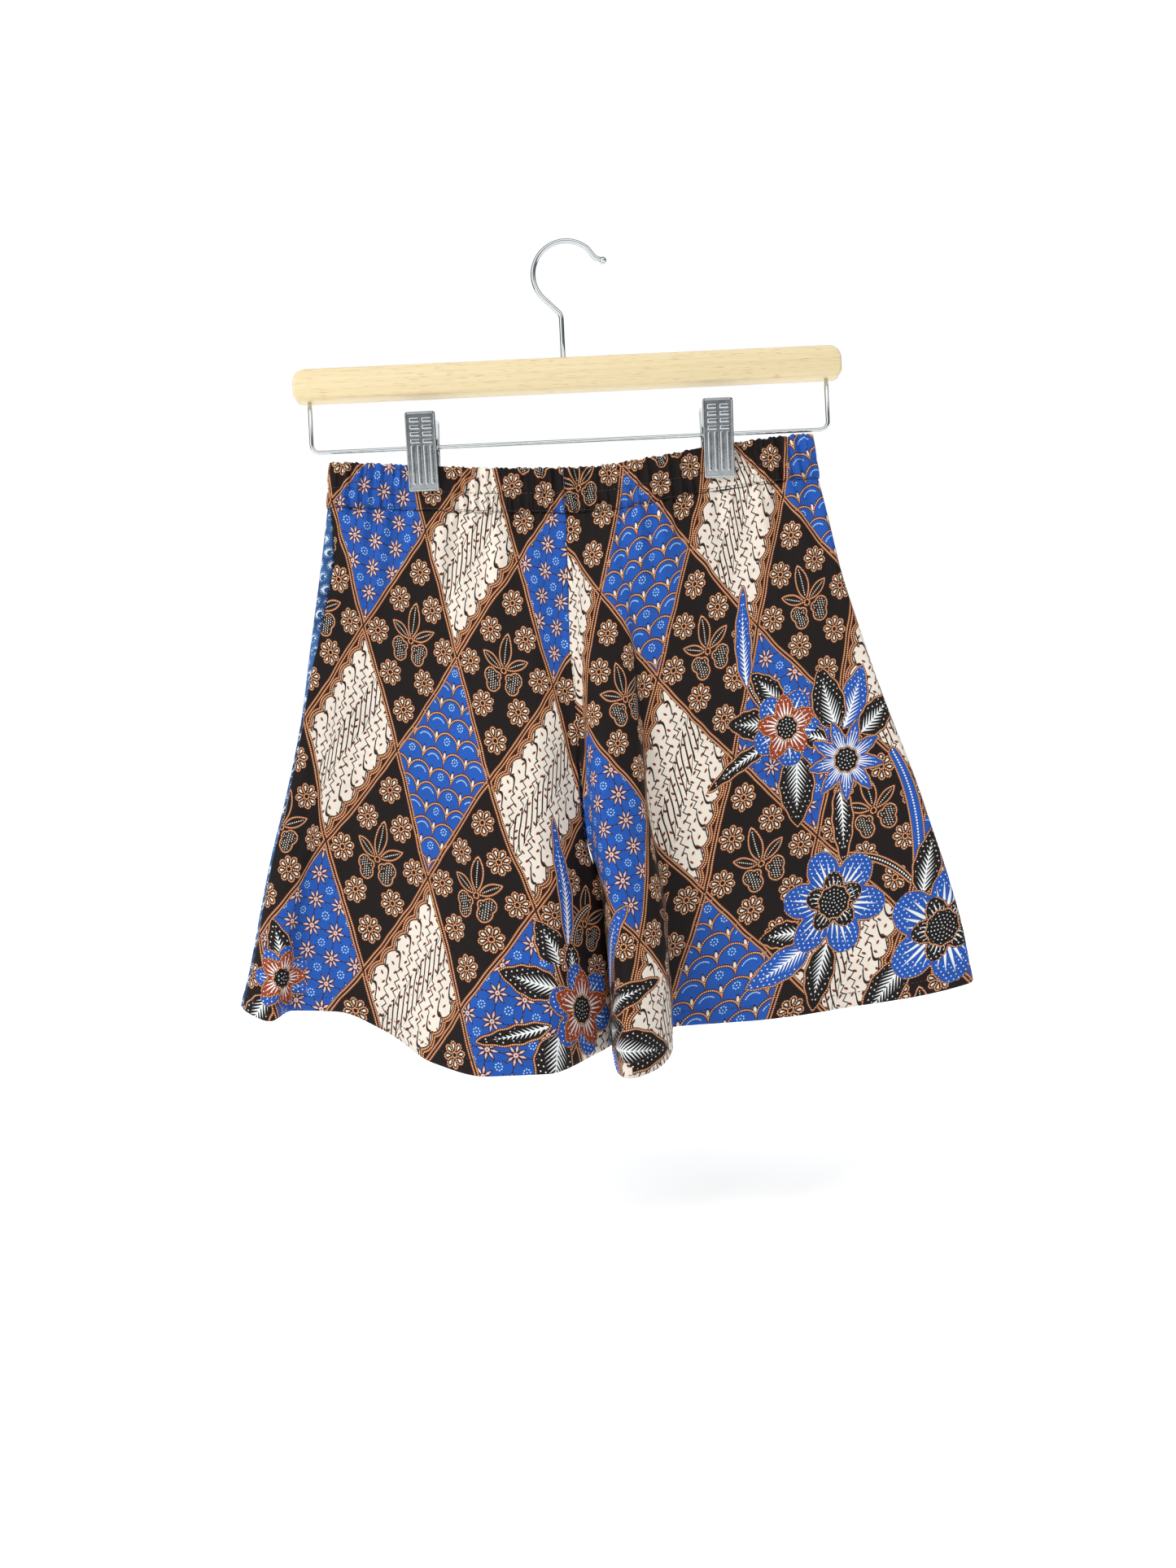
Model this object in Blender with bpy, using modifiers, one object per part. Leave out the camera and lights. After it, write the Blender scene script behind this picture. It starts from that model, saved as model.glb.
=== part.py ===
"""A batik skort, wide-legged with an elastic waist, held by two spring clips on a wooden hanger.

Left and right are as seen from the front. X runs to the right, the front faces -Y and Z is up.
The origin is the inner top of the hook, where the hanger hangs. Sizes are in millimetres and MM
turns them into metres where a mesh or an object is made.
"""

import math
from typing import NamedTuple

import bmesh
import bpy
import numpy as np
from mathutils import Matrix, Vector

MM = 0.001
OBJECT_NAME = "batik_skort_on_clip_hanger"
LEFT, RIGHT = -1, 1
FRONT, BACK = -1, 1

# Cloth
CLOTH = 1.2  # wall of a panel
CASING_WALL = 2.2  # elastic with the cloth turned over it
CASING_HEIGHT = 29.0
CASING_TAPER = 0.022  # how much narrower the top of the casing is than its foot
SEAM = 0.4  # between two pieces along a seam
WAIST_CENTRE = -4.0
GATHERS = 92  # all round the waist
GATHER_DEPTH = 0.8
GATHER_AT_MIDDLE = 0.55  # share of that depth half way up, between the rows of stitching
GATHER_AT_SIDES = 0.35  # and where the casing turns round at the sides
SIDE_TURN = 12.0  # width of that turn
COLUMNS_A_GATHER = 3
CASING_ROWS = 2
TUCK_DEPTH = 1.6  # below the casing, where gathers run together
TUCK_LIFT = 0.6  # share of that depth by which the tucks stand out on the whole
TUCK_FADE = 75.0
TUCKS = {FRONT: 8, BACK: 6}  # a panel
COLUMNS = {FRONT: 34, BACK: 23}
ROWS = 14  # the same on every panel, so that seams match
ROW_CROWDING = 1.15  # how much closer the rows lie at the waist
INNER_COLUMNS = 4  # from the mouth of the valley between the legs to the seam
WRAP_COLUMNS = 3  # of the left back panel, that turn round the side to the front
EDGE_STRIP = 0.16  # of a fold line's place, between a side seam and its next column
RISE_STARTS = -300.0  # where the centre seams leave the surface and sink between the legs
CROTCH = -420.0
BEND_WORTH = 9.0  # length of straight cloth that takes as many columns as a bend of one radian
BENT = 0.6  # depth at which a centre seam's two edges lie side by side
LEG_GAP = 1.4  # half the distance between the legs' inner walls at the hem
LEG_SLANT = 0.06  # how far the line between the legs moves sideways for each step back
BACK_STAGGER = 1.0  # how far right the centre back seam lies of the centre front seam
SEAT_HEM = -513.0  # height of the hem at the inner leg seams
FOLD_POWER = 1.25  # how late a fold deepens on its way down

# Hanger
HANGER_X = -2.5
BAR_LENGTH, BAR_DEPTH, BAR_HEIGHT = 353.0, 14.0, 20.0
BAR_TOP = -75.3
BAR_TOP_CORNER, BAR_FOOT_CORNER, BAR_EDGE = 8.5, 5.0, 1.2
HOLE_CLEARANCE = 0.45
HOLE_DEPTH = 10.0
HOLE_SIDES = 16
HOOK_WIRE = 3.0
HOOK_RADIUS = 21.5
STEM_X = -4.5
STEM_BEND_Z = -46.0
STEM_BEND_RADIUS = 7.0
HOOK_SHOULDER = math.radians(34.0)  # above the level of the centre, on the open side
HOOK_TIP = (24.0, -12.2)
TIP_BEND = Vector((1.0, 0.0, -2.2))  # from the shoulder to the corner of the bend before the tip
TIP_BEND_RADIUS = 4.0
TIP_BALL = 4.4
BEFORE_TIP = 0.25  # angle before the shoulder where the arc ends
HOOK_STEPS = 22
END_CLEARANCE = 1.0  # from a wire's end to the bottom of its hole
RAIL_WIRE = 2.5
RAIL_Z = -128.0
RAIL_HALF = 167.0
RAIL_CORNER = 6.0

# Clips
CLIP_OFFSET = 95.0
CLIP_WIDTH, CLIP_HEIGHT, CLIP_PLATE = 19.3, 50.0, 1.2
CLIP_FOOT_Z = -156.8
CLIP_TILT = math.radians(8.0)
CLIP_PINCH = 1.75  # half the distance between the casing's two middle planes at a clip
PINCH_FADE = 8.0  # how far from a clip the gathers are whole again
JAW_GAP = 0.3  # from a jaw's lip to the casing
CLIP_CORNER = 1.4
LIP_HEIGHT, LIP_DEPTH = 2.6, 1.3
FLANGE = 3.0
FLANGE_SHORT = 4.0  # how far a flange ends from each end of the plate
EAR_HEIGHT = 7.0
EAR_CLEARANCE = 0.35  # to the rail
BLOCK_ROWS, BLOCK_WIDTH, BLOCK_HEIGHT, BLOCK_PITCH = 4, 7.2, 3.0, 4.6
BLOCK_GAP = 1.4
BLOCKS_FROM_TOP = 5.6
RIB_COUNT, RIB_WIDTH, RIB_PITCH, RIB_LENGTH = 4, 2.1, 4.1, 24.0
RIBS_FROM_FOOT = 3.6
RELIEF = 0.9
SUNK = 0.3  # how far a detail stands in the plate that it is part of
JAW_STAND = CLIP_PINCH + CASING_WALL / 2 + JAW_GAP  # from the middle plane to a jaw's lip
SPRING_RADIUS, SPRING_LENGTH = 3.4, 12.0
SPRING_BORE = RAIL_WIRE / 2 + 0.4
SPRING_SHOULDER = (0.5, 0.8)  # how far its rims are turned in, across and along


class Height(NamedTuple):
    """The skort's outline at one height: its two side edges and the line where the legs meet."""

    z: float
    left: float
    right: float
    valley: float


OUTLINE = (
    Height(-130.0, -159.6, 149.5, -6.5),
    Height(-160.0, -160.6, 156.4, -7.0),
    Height(-187.0, -164.4, 162.0, -7.5),
    Height(-219.0, -169.8, 168.3, -8.0),
    Height(-252.0, -175.6, 177.2, -8.5),
    Height(-300.0, -183.8, 191.3, -6.5),
    Height(-355.0, -197.5, 209.8, -5.5),
    Height(-385.0, -206.4, 218.6, -3.5),
    Height(-420.0, -215.0, 228.5, 1.5),
    Height(-455.0, -223.0, 236.5, 3.5),
    Height(-486.0, -231.0, 240.8, 4.5),
    Height(-525.0, -237.0, 246.0, 4.5),
)


class WaistPoint(NamedTuple):
    """The height of the waist's top edge at one place across it."""

    x: float
    top: float


WAIST_TOP = (
    WaistPoint(-165.0, -135.0),
    WaistPoint(-98.0, -139.8),
    WaistPoint(-45.0, -144.8),
    WaistPoint(7.0, -146.8),
    WaistPoint(50.0, -142.0),
    WaistPoint(92.0, -135.3),
    WaistPoint(158.0, -130.6),
)


class Wrap(NamedTuple):
    """How far the left back panel turns round the side edge to the front, at one height."""

    z: float
    width: float


LEFT_WRAP = (
    Wrap(-165.0, 2.8),
    Wrap(-200.0, 8.9),
    Wrap(-230.0, 7.1),
    Wrap(-252.0, 5.2),
    Wrap(-277.0, 2.2),
    Wrap(-300.0, 1.6),
    Wrap(-490.0, 1.6),
)


class Fold(NamedTuple):
    """A line down a panel, along a ridge, a trough or an edge: where it leaves the waist seam, where
    it meets the hem, and the height below which it leaves the waist's flatness."""

    name: str
    waist_x: float
    waist_y: float
    hem_x: float
    hem_y: float
    hem_z: float
    starts: float


FRONT_LEFT = (
    Fold("side edge", -160.8, 0.0, -231.0, 0.0, -482.0, -165.0),
    Fold("edge round", -158.8, -3.3, -227.8, -6.0, -484.5, -165.0),
    Fold("side roll", -148.0, -4.2, -210.0, -15.0, -491.0, -350.0),
    Fold("side trough", -134.0, -3.6, -199.0, -2.0, -487.0, -350.0),
    Fold("left flat", -112.0, -1.75, -168.0, -8.0, -488.0, -200.0),
    Fold("shoulder", -88.0, -1.75, -134.0, -20.0, -501.0, -200.0),
    Fold("shoulder end", -70.0, -3.4, -103.0, -42.0, -517.0, -195.0),
    Fold("leg roll", -51.0, -5.6, -69.0, -63.0, -522.0, -190.0),
    Fold("leg roll end", -30.0, -7.2, -34.0, -64.0, -522.0, -190.0),
    Fold("mouth", -11.0, -7.8, -0.6, -28.0, -517.0, -190.0),
)

FRONT_RIGHT = (
    Fold("mouth", -2.0, -7.8, 6.6, -27.0, -518.5, -190.0),
    Fold("pipe flank", 3.0, -7.9, 9.3, -54.0, -525.5, -205.0),
    Fold("pipe crest", 11.0, -7.9, 16.0, -66.0, -526.5, -205.0),
    Fold("pipe slope", 22.0, -7.8, 31.3, -57.0, -524.0, -205.0),
    Fold("pipe edge", 29.0, -7.6, 42.5, -40.0, -517.0, -205.0),
    Fold("pipe foot", 34.0, -7.3, 46.0, -7.0, -508.0, -205.0),
    Fold("right flat", 56.0, -5.0, 88.0, -3.0, -507.3, -190.0),
    Fold("clip inner", 78.0, -1.75, 122.0, -8.0, -504.5, -200.0),
    Fold("clip outer", 106.0, -1.75, 165.0, -3.5, -500.5, -200.0),
    Fold("right sway", 134.0, -3.8, 207.0, -8.0, -494.8, -200.0),
    Fold("edge round", 154.4, -3.3, 238.0, -5.5, -488.5, -165.0),
    Fold("side edge", 156.4, 0.0, 240.8, 0.0, -486.5, -160.0),
)

BACK_LEFT = (
    Fold("side edge", -160.8, 0.0, -231.0, 0.0, -482.0, -165.0),
    Fold("edge round", -158.8, 3.3, -227.8, 6.0, -483.0, -165.0),
    Fold("outer roll", -138.0, 3.6, -192.0, 22.0, -486.0, -230.0),
    Fold("outer trough", -112.0, 1.75, -157.0, 9.0, -490.0, -200.0),
    Fold("middle roll", -84.0, 1.75, -117.0, 25.0, -495.0, -210.0),
    Fold("inner trough", -50.0, 5.5, -72.0, 12.0, -500.0, -190.0),
    Fold("inner roll", -26.0, 7.5, -34.0, 27.0, -504.0, -220.0),
    Fold("mouth", -11.0, 7.8, 0.2, 20.0, -508.0, -190.0),
)

BACK_RIGHT = (
    Fold("mouth", -2.5, 7.8, 9.5, 19.0, -508.0, -190.0),
    Fold("inner roll", 18.0, 7.6, 38.0, 24.0, -504.0, -220.0),
    Fold("inner trough", 48.0, 5.6, 79.0, 11.0, -501.0, -190.0),
    Fold("middle roll", 78.0, 1.75, 124.0, 26.0, -496.0, -215.0),
    Fold("outer trough", 106.0, 1.75, 168.0, 8.0, -491.0, -200.0),
    Fold("outer roll", 134.0, 3.8, 203.0, 19.0, -488.0, -240.0),
    Fold("edge round", 154.4, 3.3, 238.0, 5.5, -486.5, -165.0),
    Fold("side edge", 156.4, 0.0, 240.8, 0.0, -486.5, -160.0),
)


def clear_scene():
    """Remove every object that is open."""
    for old in list(bpy.data.objects):
        bpy.data.objects.remove(old, do_unlink=True)


def make_material(name, colour, roughness, metallic=0.0):
    material = bpy.data.materials.new(name)
    material.use_nodes = True
    shader = material.node_tree.nodes["Principled BSDF"]
    shader.inputs["Base Color"].default_value = (*colour, 1.0)
    shader.inputs["Roughness"].default_value = roughness
    shader.inputs["Metallic"].default_value = metallic
    return material


def make_collection(name):
    collection = bpy.data.collections.new(name)
    bpy.context.scene.collection.children.link(collection)
    return collection


def smooth_step(value):
    value = min(1.0, max(0.0, value))
    return value * value * (3.0 - 2.0 * value)


def mix(first, second, share):
    return first + (second - first) * share


def slopes(places, values, flat_start=False, flat_end=False):
    """Slopes of a curve through the values that doesn't swing past them."""
    steps = np.diff(values) / np.diff(places)
    found = np.zeros(len(values))
    for i in range(1, len(values) - 1):
        if steps[i - 1] * steps[i] > 0:
            found[i] = 2 * steps[i - 1] * steps[i] / (steps[i - 1] + steps[i])
    found[0] = 0.0 if flat_start else steps[0]
    found[-1] = 0.0 if flat_end else steps[-1]
    return found


class Track:
    """A smooth curve of one value over one place."""

    def __init__(self, places, values, flat_start=False, flat_end=False):
        order = np.argsort(places)
        self.places = np.array(places, float)[order]
        self.values = np.array(values, float)[order]
        self.slopes = slopes(self.places, self.values, flat_start, flat_end)

    def at(self, place):
        place = min(max(place, self.places[0]), self.places[-1])
        i = min(int(np.searchsorted(self.places, place, side="right")) - 1, len(self.places) - 2)
        i = max(i, 0)
        width = self.places[i + 1] - self.places[i]
        s = (place - self.places[i]) / width
        return float(
            self.values[i] * (1 + 2 * s) * (1 - s) ** 2
            + self.slopes[i] * width * s * (1 - s) ** 2
            + self.values[i + 1] * s * s * (3 - 2 * s)
            + self.slopes[i + 1] * width * s * s * (s - 1)
        )


LEFT_EDGE = Track([row.z for row in OUTLINE], [row.left for row in OUTLINE])
RIGHT_EDGE = Track([row.z for row in OUTLINE], [row.right for row in OUTLINE])
VALLEY = Track([row.z for row in OUTLINE], [row.valley for row in OUTLINE])
WAIST_EDGE = Track([row.x for row in WAIST_TOP], [row.top for row in WAIST_TOP])
WRAP = Track([row.z for row in LEFT_WRAP], [row.width for row in LEFT_WRAP])


def seam_height(x):
    """Height of the foot of the casing at x."""
    return WAIST_EDGE.at(x) - CASING_HEIGHT


class Panel:
    """One quarter of the skort, as a sheet with no thickness: across runs over the table's fold lines
    and down runs from the waist seam, 0, to the hem, 1."""

    def __init__(self, folds, side, face):
        self.folds = folds
        self.side = side
        self.face = face
        lines = np.arange(len(folds), dtype=float)
        left = side == LEFT
        self.last = lines[-1]
        self.edge = 0.0 if left else self.last
        self.mouth = self.last if left else 0.0
        columns = {"flat_start": left, "flat_end": not left}
        self.waist_x = Track(lines, [fold.waist_x for fold in folds], **columns)
        self.hem_x = Track(lines, [fold.hem_x for fold in folds], **columns)
        self.waist_y = Track(lines, [fold.waist_y for fold in folds])
        self.hem_y = Track(lines, [fold.hem_y for fold in folds])
        self.hem_z = Track(lines, [fold.hem_z for fold in folds])
        self.starts = Track(lines, [fold.starts for fold in folds])
        self.edge_track = LEFT_EDGE if left else RIGHT_EDGE
        self.across = self.even_places()

    def even_places(self):
        """Places across the fold lines that lie evenly along the waist and the hem together, closer
        where they bend."""
        fine = np.linspace(self.edge, self.mouth, 400)
        waist = np.array([(self.waist_x.at(p), self.waist_y.at(p)) for p in fine])
        hem = np.array([(self.hem_x.at(p), self.hem_y.at(p)) for p in fine])
        length = np.zeros(len(fine))
        for curve in (waist, hem):
            steps = np.diff(curve, axis=0)
            headings = np.unwrap(np.arctan2(steps[:, 1], steps[:, 0]))
            bends = np.abs(np.diff(headings, prepend=headings[0]))
            sizes = np.linalg.norm(steps, axis=1) + BEND_WORTH * bends
            length[1:] += np.cumsum(sizes) / sizes.sum()
        return Track(length / length[-1], fine)

    def height(self, across, down):
        top = seam_height(self.waist_x.at(across)) - SEAM
        return mix(top, self.hem_z.at(across), down)

    def x_at(self, across, z):
        """The fold line's x at a height, following the curve of the side edge and of the valley."""
        top = seam_height(self.waist_x.at(across)) - SEAM
        foot = self.hem_z.at(across)
        share = (top - z) / (top - foot)
        straight = mix(self.waist_x.at(across), self.hem_x.at(across), share)
        inward = abs(self.waist_x.at(across) - self.waist_x.at(self.edge)) / abs(
            self.waist_x.at(self.mouth) - self.waist_x.at(self.edge)
        )
        bow = 0.0
        for track, weight in ((self.edge_track, 1 - inward), (VALLEY, inward)):
            bow += weight * (track.at(z) - mix(track.at(top), track.at(foot), share))
        return straight + bow

    def tuck(self, across, z):
        """How far the gathers below the casing push the cloth out."""
        place = self.waist_x.at(across) - self.waist_x.at(self.mouth)
        width = abs(self.waist_x.at(self.edge) - self.waist_x.at(self.mouth))
        turn = 2 * math.pi * TUCKS[self.face] * abs(place) / width
        uneven = 0.45 * math.sin(0.37 * turn + self.side) + 0.3 * math.sin(0.81 * turn)
        fade = TUCK_FADE * (1 + 0.35 * math.sin(0.53 * turn + 1.0))
        below = seam_height(self.waist_x.at(across)) - z
        near_edge = smooth_step(min(abs(across - self.edge), abs(across - self.mouth)) / 1.5)
        push = TUCK_DEPTH * (math.cos(turn + uneven) + TUCK_LIFT)
        return push * near_edge * (1 - smooth_step(below / fade))

    def y_at(self, across, z):
        """The fold line's y at a height."""
        starts, foot = self.starts.at(across), self.hem_z.at(across)
        deep = max(0.0, (starts - z) / (starts - foot)) ** FOLD_POWER
        y = mix(self.waist_y.at(across), self.hem_y.at(across), deep)
        return y + self.face * self.tuck(across, z)

    def on_fold(self, across, down):
        z = self.height(across, down)
        return Vector((self.x_at(across, z), self.y_at(across, z), z))

    def side_place(self, down):
        """Place across the fold lines of the front panel where the side seam runs."""
        if self.side == RIGHT:
            return self.edge
        z = self.height(self.edge, down)
        low, high = self.edge, self.edge + 3.0
        for _ in range(30):
            middle = (low + high) / 2
            if self.x_at(middle, z) - self.x_at(self.edge, z) < WRAP.at(z):
                low = middle
            else:
                high = middle
        return low

    def sunk(self, z):
        """How far the centre seam has sunk towards the middle of the legs, 0 to 1."""
        share = min(1.0, max(0.0, (RISE_STARTS - z) / (RISE_STARTS - CROTCH)))
        return 1 - math.sqrt(1 - share**2)

    def inner_run(self, down):
        """Points from the mouth of the valley round its corner and back to the seam."""
        start = self.on_fold(self.mouth, down)
        inside = self.on_fold(mix(self.mouth, self.edge, 0.01), down)
        y_end = mix(start.y, self.face * SEAM / 2, self.sunk(start.z))
        deep = abs(y_end - start.y)
        apart = (SEAM + CLOTH * min(1.0, deep / BENT)) / 2
        foot = self.hem_z.at(self.mouth)
        apart = mix(apart, LEG_GAP, smooth_step((CROTCH - start.z) / (CROTCH - foot)))
        opened = smooth_step((RISE_STARTS - start.z) / (RISE_STARTS - CROTCH))
        middle = VALLEY.at(start.z) + self.side * apart
        if self.face == BACK:
            middle += BACK_STAGGER * (1 - opened)
        slant = LEG_SLANT * opened
        reach = abs(middle + slant * start.y - start.x)
        lean = abs(start.y - inside.y) / abs(start.x - inside.x) * reach
        y_corner = mix(start.y, y_end, min(0.5, lean / max(deep, BENT)))
        y_turn = mix(start.y, y_end, min(1.0, max(0.75, reach / max(deep, BENT))))
        z_end = mix(seam_height(VALLEY.at(start.z)) - SEAM, SEAT_HEM, down)
        first = Vector((start.x, start.y, start.z))
        corner = Vector((middle + slant * y_corner, y_corner, mix(start.z, z_end, 0.5)))
        turn = Vector((middle + slant * y_turn, y_turn, mix(start.z, z_end, 0.8)))
        line = [
            first.lerp(corner, share).lerp(corner.lerp(turn, share), share)
            for share in np.linspace(0.0, 1.0, 12)
        ]
        line.append(Vector((middle + slant * y_end, y_end, z_end)))
        return even_points(line, INNER_COLUMNS)[1:]

    def run(self, down, columns):
        """Points across the panel at one level, from the side seam to the centre or inner leg seam."""
        front = FRONTS[self.side]
        seam = front.side_place(down)
        inward = EDGE_STRIP if self.mouth > self.edge else -EDGE_STRIP
        points = []
        if self.face == FRONT:
            points += [self.on_fold(seam, down), self.on_fold(seam + inward, down)]
            start = self.share_of(seam + inward)
            shares = [mix(start, 1.0, i / (columns - 1)) for i in range(1, columns)]
        else:
            wraps = WRAP_COLUMNS if self.side == LEFT else 0
            points += [front.on_fold(mix(seam, front.edge, i / wraps), down) for i in range(wraps)]
            points += [self.on_fold(self.edge, down), self.on_fold(self.edge + inward, down)]
            start, rest = self.share_of(self.edge + inward), columns - wraps - 1
            shares = [mix(start, 1.0, i / rest) for i in range(1, rest + 1)]
        points += [self.on_fold(self.across.at(share), down) for share in shares]
        points[0] = points[0].lerp(points[1], SEAM / 2 / (points[1] - points[0]).length)
        return points + self.inner_run(down)

    def share_of(self, place):
        """The even share of the panel's width that lies before a place across the fold lines."""
        low, high = 0.0, 1.0
        for _ in range(30):
            middle = (low + high) / 2
            if abs(self.across.at(middle) - self.edge) < abs(place - self.edge):
                low = middle
            else:
                high = middle
        return low


def even_points(line, count):
    """Points that lie evenly along a line, its two ends among them."""
    spots = np.array(line)
    along = np.concatenate([[0.0], np.cumsum(np.linalg.norm(np.diff(spots, axis=0), axis=1))])
    places = np.linspace(0.0, along[-1], count + 1)
    return [Vector([np.interp(place, along, spots[:, k]) for k in range(3)]) for place in places]


FRONTS = {LEFT: Panel(FRONT_LEFT, LEFT, FRONT), RIGHT: Panel(FRONT_RIGHT, RIGHT, FRONT)}
BACKS = {LEFT: Panel(BACK_LEFT, LEFT, BACK), RIGHT: Panel(BACK_RIGHT, RIGHT, BACK)}


def grid_mesh(name, rows, closed=False):
    """A sheet through rows of points, welded end to end where it is closed."""
    bm = bmesh.new()
    width, height = len(rows[0]), len(rows)
    bmesh.ops.create_grid(bm, x_segments=width - 1, y_segments=height - 1, size=1.0)
    bm.verts.ensure_lookup_table()
    ordered = sorted(bm.verts, key=lambda vert: (round(vert.co.y, 5), round(vert.co.x, 5)))
    for i, vert in enumerate(ordered):
        vert.co = rows[i // width][i % width] * MM
    if closed:
        bmesh.ops.remove_doubles(bm, verts=bm.verts, dist=0.00001)
    mesh = bpy.data.meshes.new(name)
    bm.to_mesh(mesh)
    bm.free()
    return mesh


def cloth_object(name, rows, wall, material, collection, closed=False):
    """A wall of even thickness round a sheet."""
    mesh = grid_mesh(name, rows, closed)
    mesh.materials.append(material)
    mesh.shade_smooth()
    piece = bpy.data.objects.new(name, mesh)
    collection.objects.link(piece)
    solid = piece.modifiers.new("wall", "SOLIDIFY")
    solid.thickness = wall * MM
    solid.offset = 0.0
    solid.use_rim = True
    return piece


def build_panels(collection):
    """The four panels, each a thin wall from the waist seam to the hem."""
    front_cloth = make_material("front_batik", (0.05, 0.05, 0.08), 0.6)
    back_cloth = make_material("back_batik", (0.03, 0.08, 0.22), 0.6)
    for side, word in ((LEFT, "left"), (RIGHT, "right")):
        for panel, face, cloth in (
            (FRONTS[side], FRONT, front_cloth),
            (BACKS[side], BACK, back_cloth),
        ):
            rows = [panel.run((i / ROWS) ** ROW_CROWDING, COLUMNS[face]) for i in range(ROWS + 1)]
            kind = "front" if face == FRONT else "back"
            cloth_object(f"{kind}_{word}", rows, CLOTH, cloth, collection)


def waist_ring():
    """The middle line of the casing's foot, all round, as points with no height."""
    line = []
    for panel, backward in (
        (FRONTS[LEFT], False),
        (FRONTS[RIGHT], False),
        (BACKS[RIGHT], True),
        (BACKS[LEFT], True),
    ):
        places = np.linspace(0, panel.last, 300)
        if backward:
            places = places[::-1]
        for place in places[:-1]:
            line.append((panel.waist_x.at(place), panel.waist_y.at(place)))
    line.append(line[0])
    return np.array(line)


def clip_hold(x):
    """1 under a clip, where the casing is pressed flat, to 0 away from it."""
    near = min(abs(x - HANGER_X - CLIP_OFFSET), abs(x - HANGER_X + CLIP_OFFSET))
    return 1 - smooth_step((near - CLIP_WIDTH / 2 - 1.0) / PINCH_FADE)


def casing_column(line, along, place, gather):
    """One column of the casing, from its foot to its top, at a place along its middle line."""
    whole = along[-1]

    def on_line(spot):
        return np.array([np.interp(spot % whole, along, line[:, k]) for k in (0, 1)])

    x, y = on_line(place)
    run = on_line(place + 0.5) - on_line(place - 0.5)
    run /= np.linalg.norm(run)
    from_edge = min(x - FRONT_LEFT[0].waist_x, FRONT_RIGHT[-1].waist_x - x)
    flat = smooth_step((from_edge - 1.0) / SIDE_TURN)
    uneven = 1 + 0.3 * math.sin(0.61 * gather + 0.5)
    push = GATHER_DEPTH * math.cos(2 * math.pi * gather + 0.8) * uneven
    push *= (1 - clip_hold(x)) * mix(GATHER_AT_SIDES, 1.0, flat)
    column = []
    for row in range(CASING_ROWS + 1):
        share = row / CASING_ROWS
        swell = push * mix(1.0, GATHER_AT_MIDDLE, math.sin(math.pi * share))
        x_in = WAIST_CENTRE + (x - WAIST_CENTRE) * (1 - CASING_TAPER * share)
        height = seam_height(x) + CASING_HEIGHT * share
        column.append(Vector((x_in + run[1] * swell, y - run[0] * swell, height)))
    return column


def build_casing(collection):
    """The gathered ring of elastic with the panels' top edge turned over it."""
    line = waist_ring()
    steps = np.linalg.norm(np.diff(line, axis=0), axis=1)
    along = np.concatenate([[0.0], np.cumsum(steps)])
    count = GATHERS * COLUMNS_A_GATHER
    columns = [
        casing_column(line, along, along[-1] * i / count, i / COLUMNS_A_GATHER) for i in range(count)
    ]
    columns.append([point.copy() for point in columns[0]])
    rows = [[column[row] for column in columns] for row in range(CASING_ROWS + 1)]
    cloth = make_material("casing_batik", (0.05, 0.05, 0.08), 0.62)
    cloth_object("waist_casing", rows, CASING_WALL, cloth, collection, closed=True)


def arc(centre, radius, start, end, count):
    """Points along an arc in the XZ plane, from one angle to another."""
    return [
        Vector(
            (
                centre[0] + radius * math.cos(mix(start, end, i / count)),
                0.0,
                centre[1] + radius * math.sin(mix(start, end, i / count)),
            )
        )
        for i in range(count + 1)
    ]


def rounded(before, corner, after, radius, count=4):
    """Points round a corner between two straight runs."""
    first = (before - corner).normalized()
    second = (after - corner).normalized()
    half = first.angle(second) / 2
    reach = radius / math.tan(half)
    start, end = corner + first * reach, corner + second * reach
    points = []
    for i in range(count + 1):
        share = i / count
        points.append(start.lerp(corner, share).lerp(corner.lerp(end, share), share))
    return points


def wire_object(name, points, diameter, material, collection):
    """A round wire along points, with closed ends."""
    curve = bpy.data.curves.new(name, "CURVE")
    curve.dimensions = "3D"
    curve.bevel_depth = diameter / 2 * MM
    curve.bevel_resolution = 2
    curve.use_fill_caps = True
    spline = curve.splines.new("POLY")
    spline.points.add(len(points) - 1)
    for place, point in zip(spline.points, points):
        place.co = (point.x * MM, point.y * MM, point.z * MM, 1.0)
    curve.materials.append(material)
    wire = bpy.data.objects.new(name, curve)
    collection.objects.link(wire)
    return wire


def as_mesh(piece, collection):
    """A curve object made a mesh with its caps welded."""
    name, place = piece.name, piece.matrix_world.copy()
    material = piece.data.materials[0]
    graph = bpy.context.evaluated_depsgraph_get()
    mesh = bpy.data.meshes.new_from_object(piece.evaluated_get(graph))
    bm = bmesh.new()
    bm.from_mesh(mesh)
    bmesh.ops.remove_doubles(bm, verts=bm.verts, dist=0.000001)
    bm.to_mesh(mesh)
    bm.free()
    mesh.materials.clear()
    mesh.materials.append(material)
    bpy.data.objects.remove(piece, do_unlink=True)
    made = bpy.data.objects.new(name, mesh)
    made.matrix_world = place
    collection.objects.link(made)
    return made


def hide_tool(tool):
    """Keep a cutter or a joined form out of the render and the build."""
    tool.hide_render = True
    tool.display_type = "WIRE"


def add_boolean(piece, tool, operation):
    step = piece.modifiers.new(tool.name, "BOOLEAN")
    step.operation = operation
    step.object = tool
    step.solver = "EXACT"
    step.use_self = True


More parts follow.
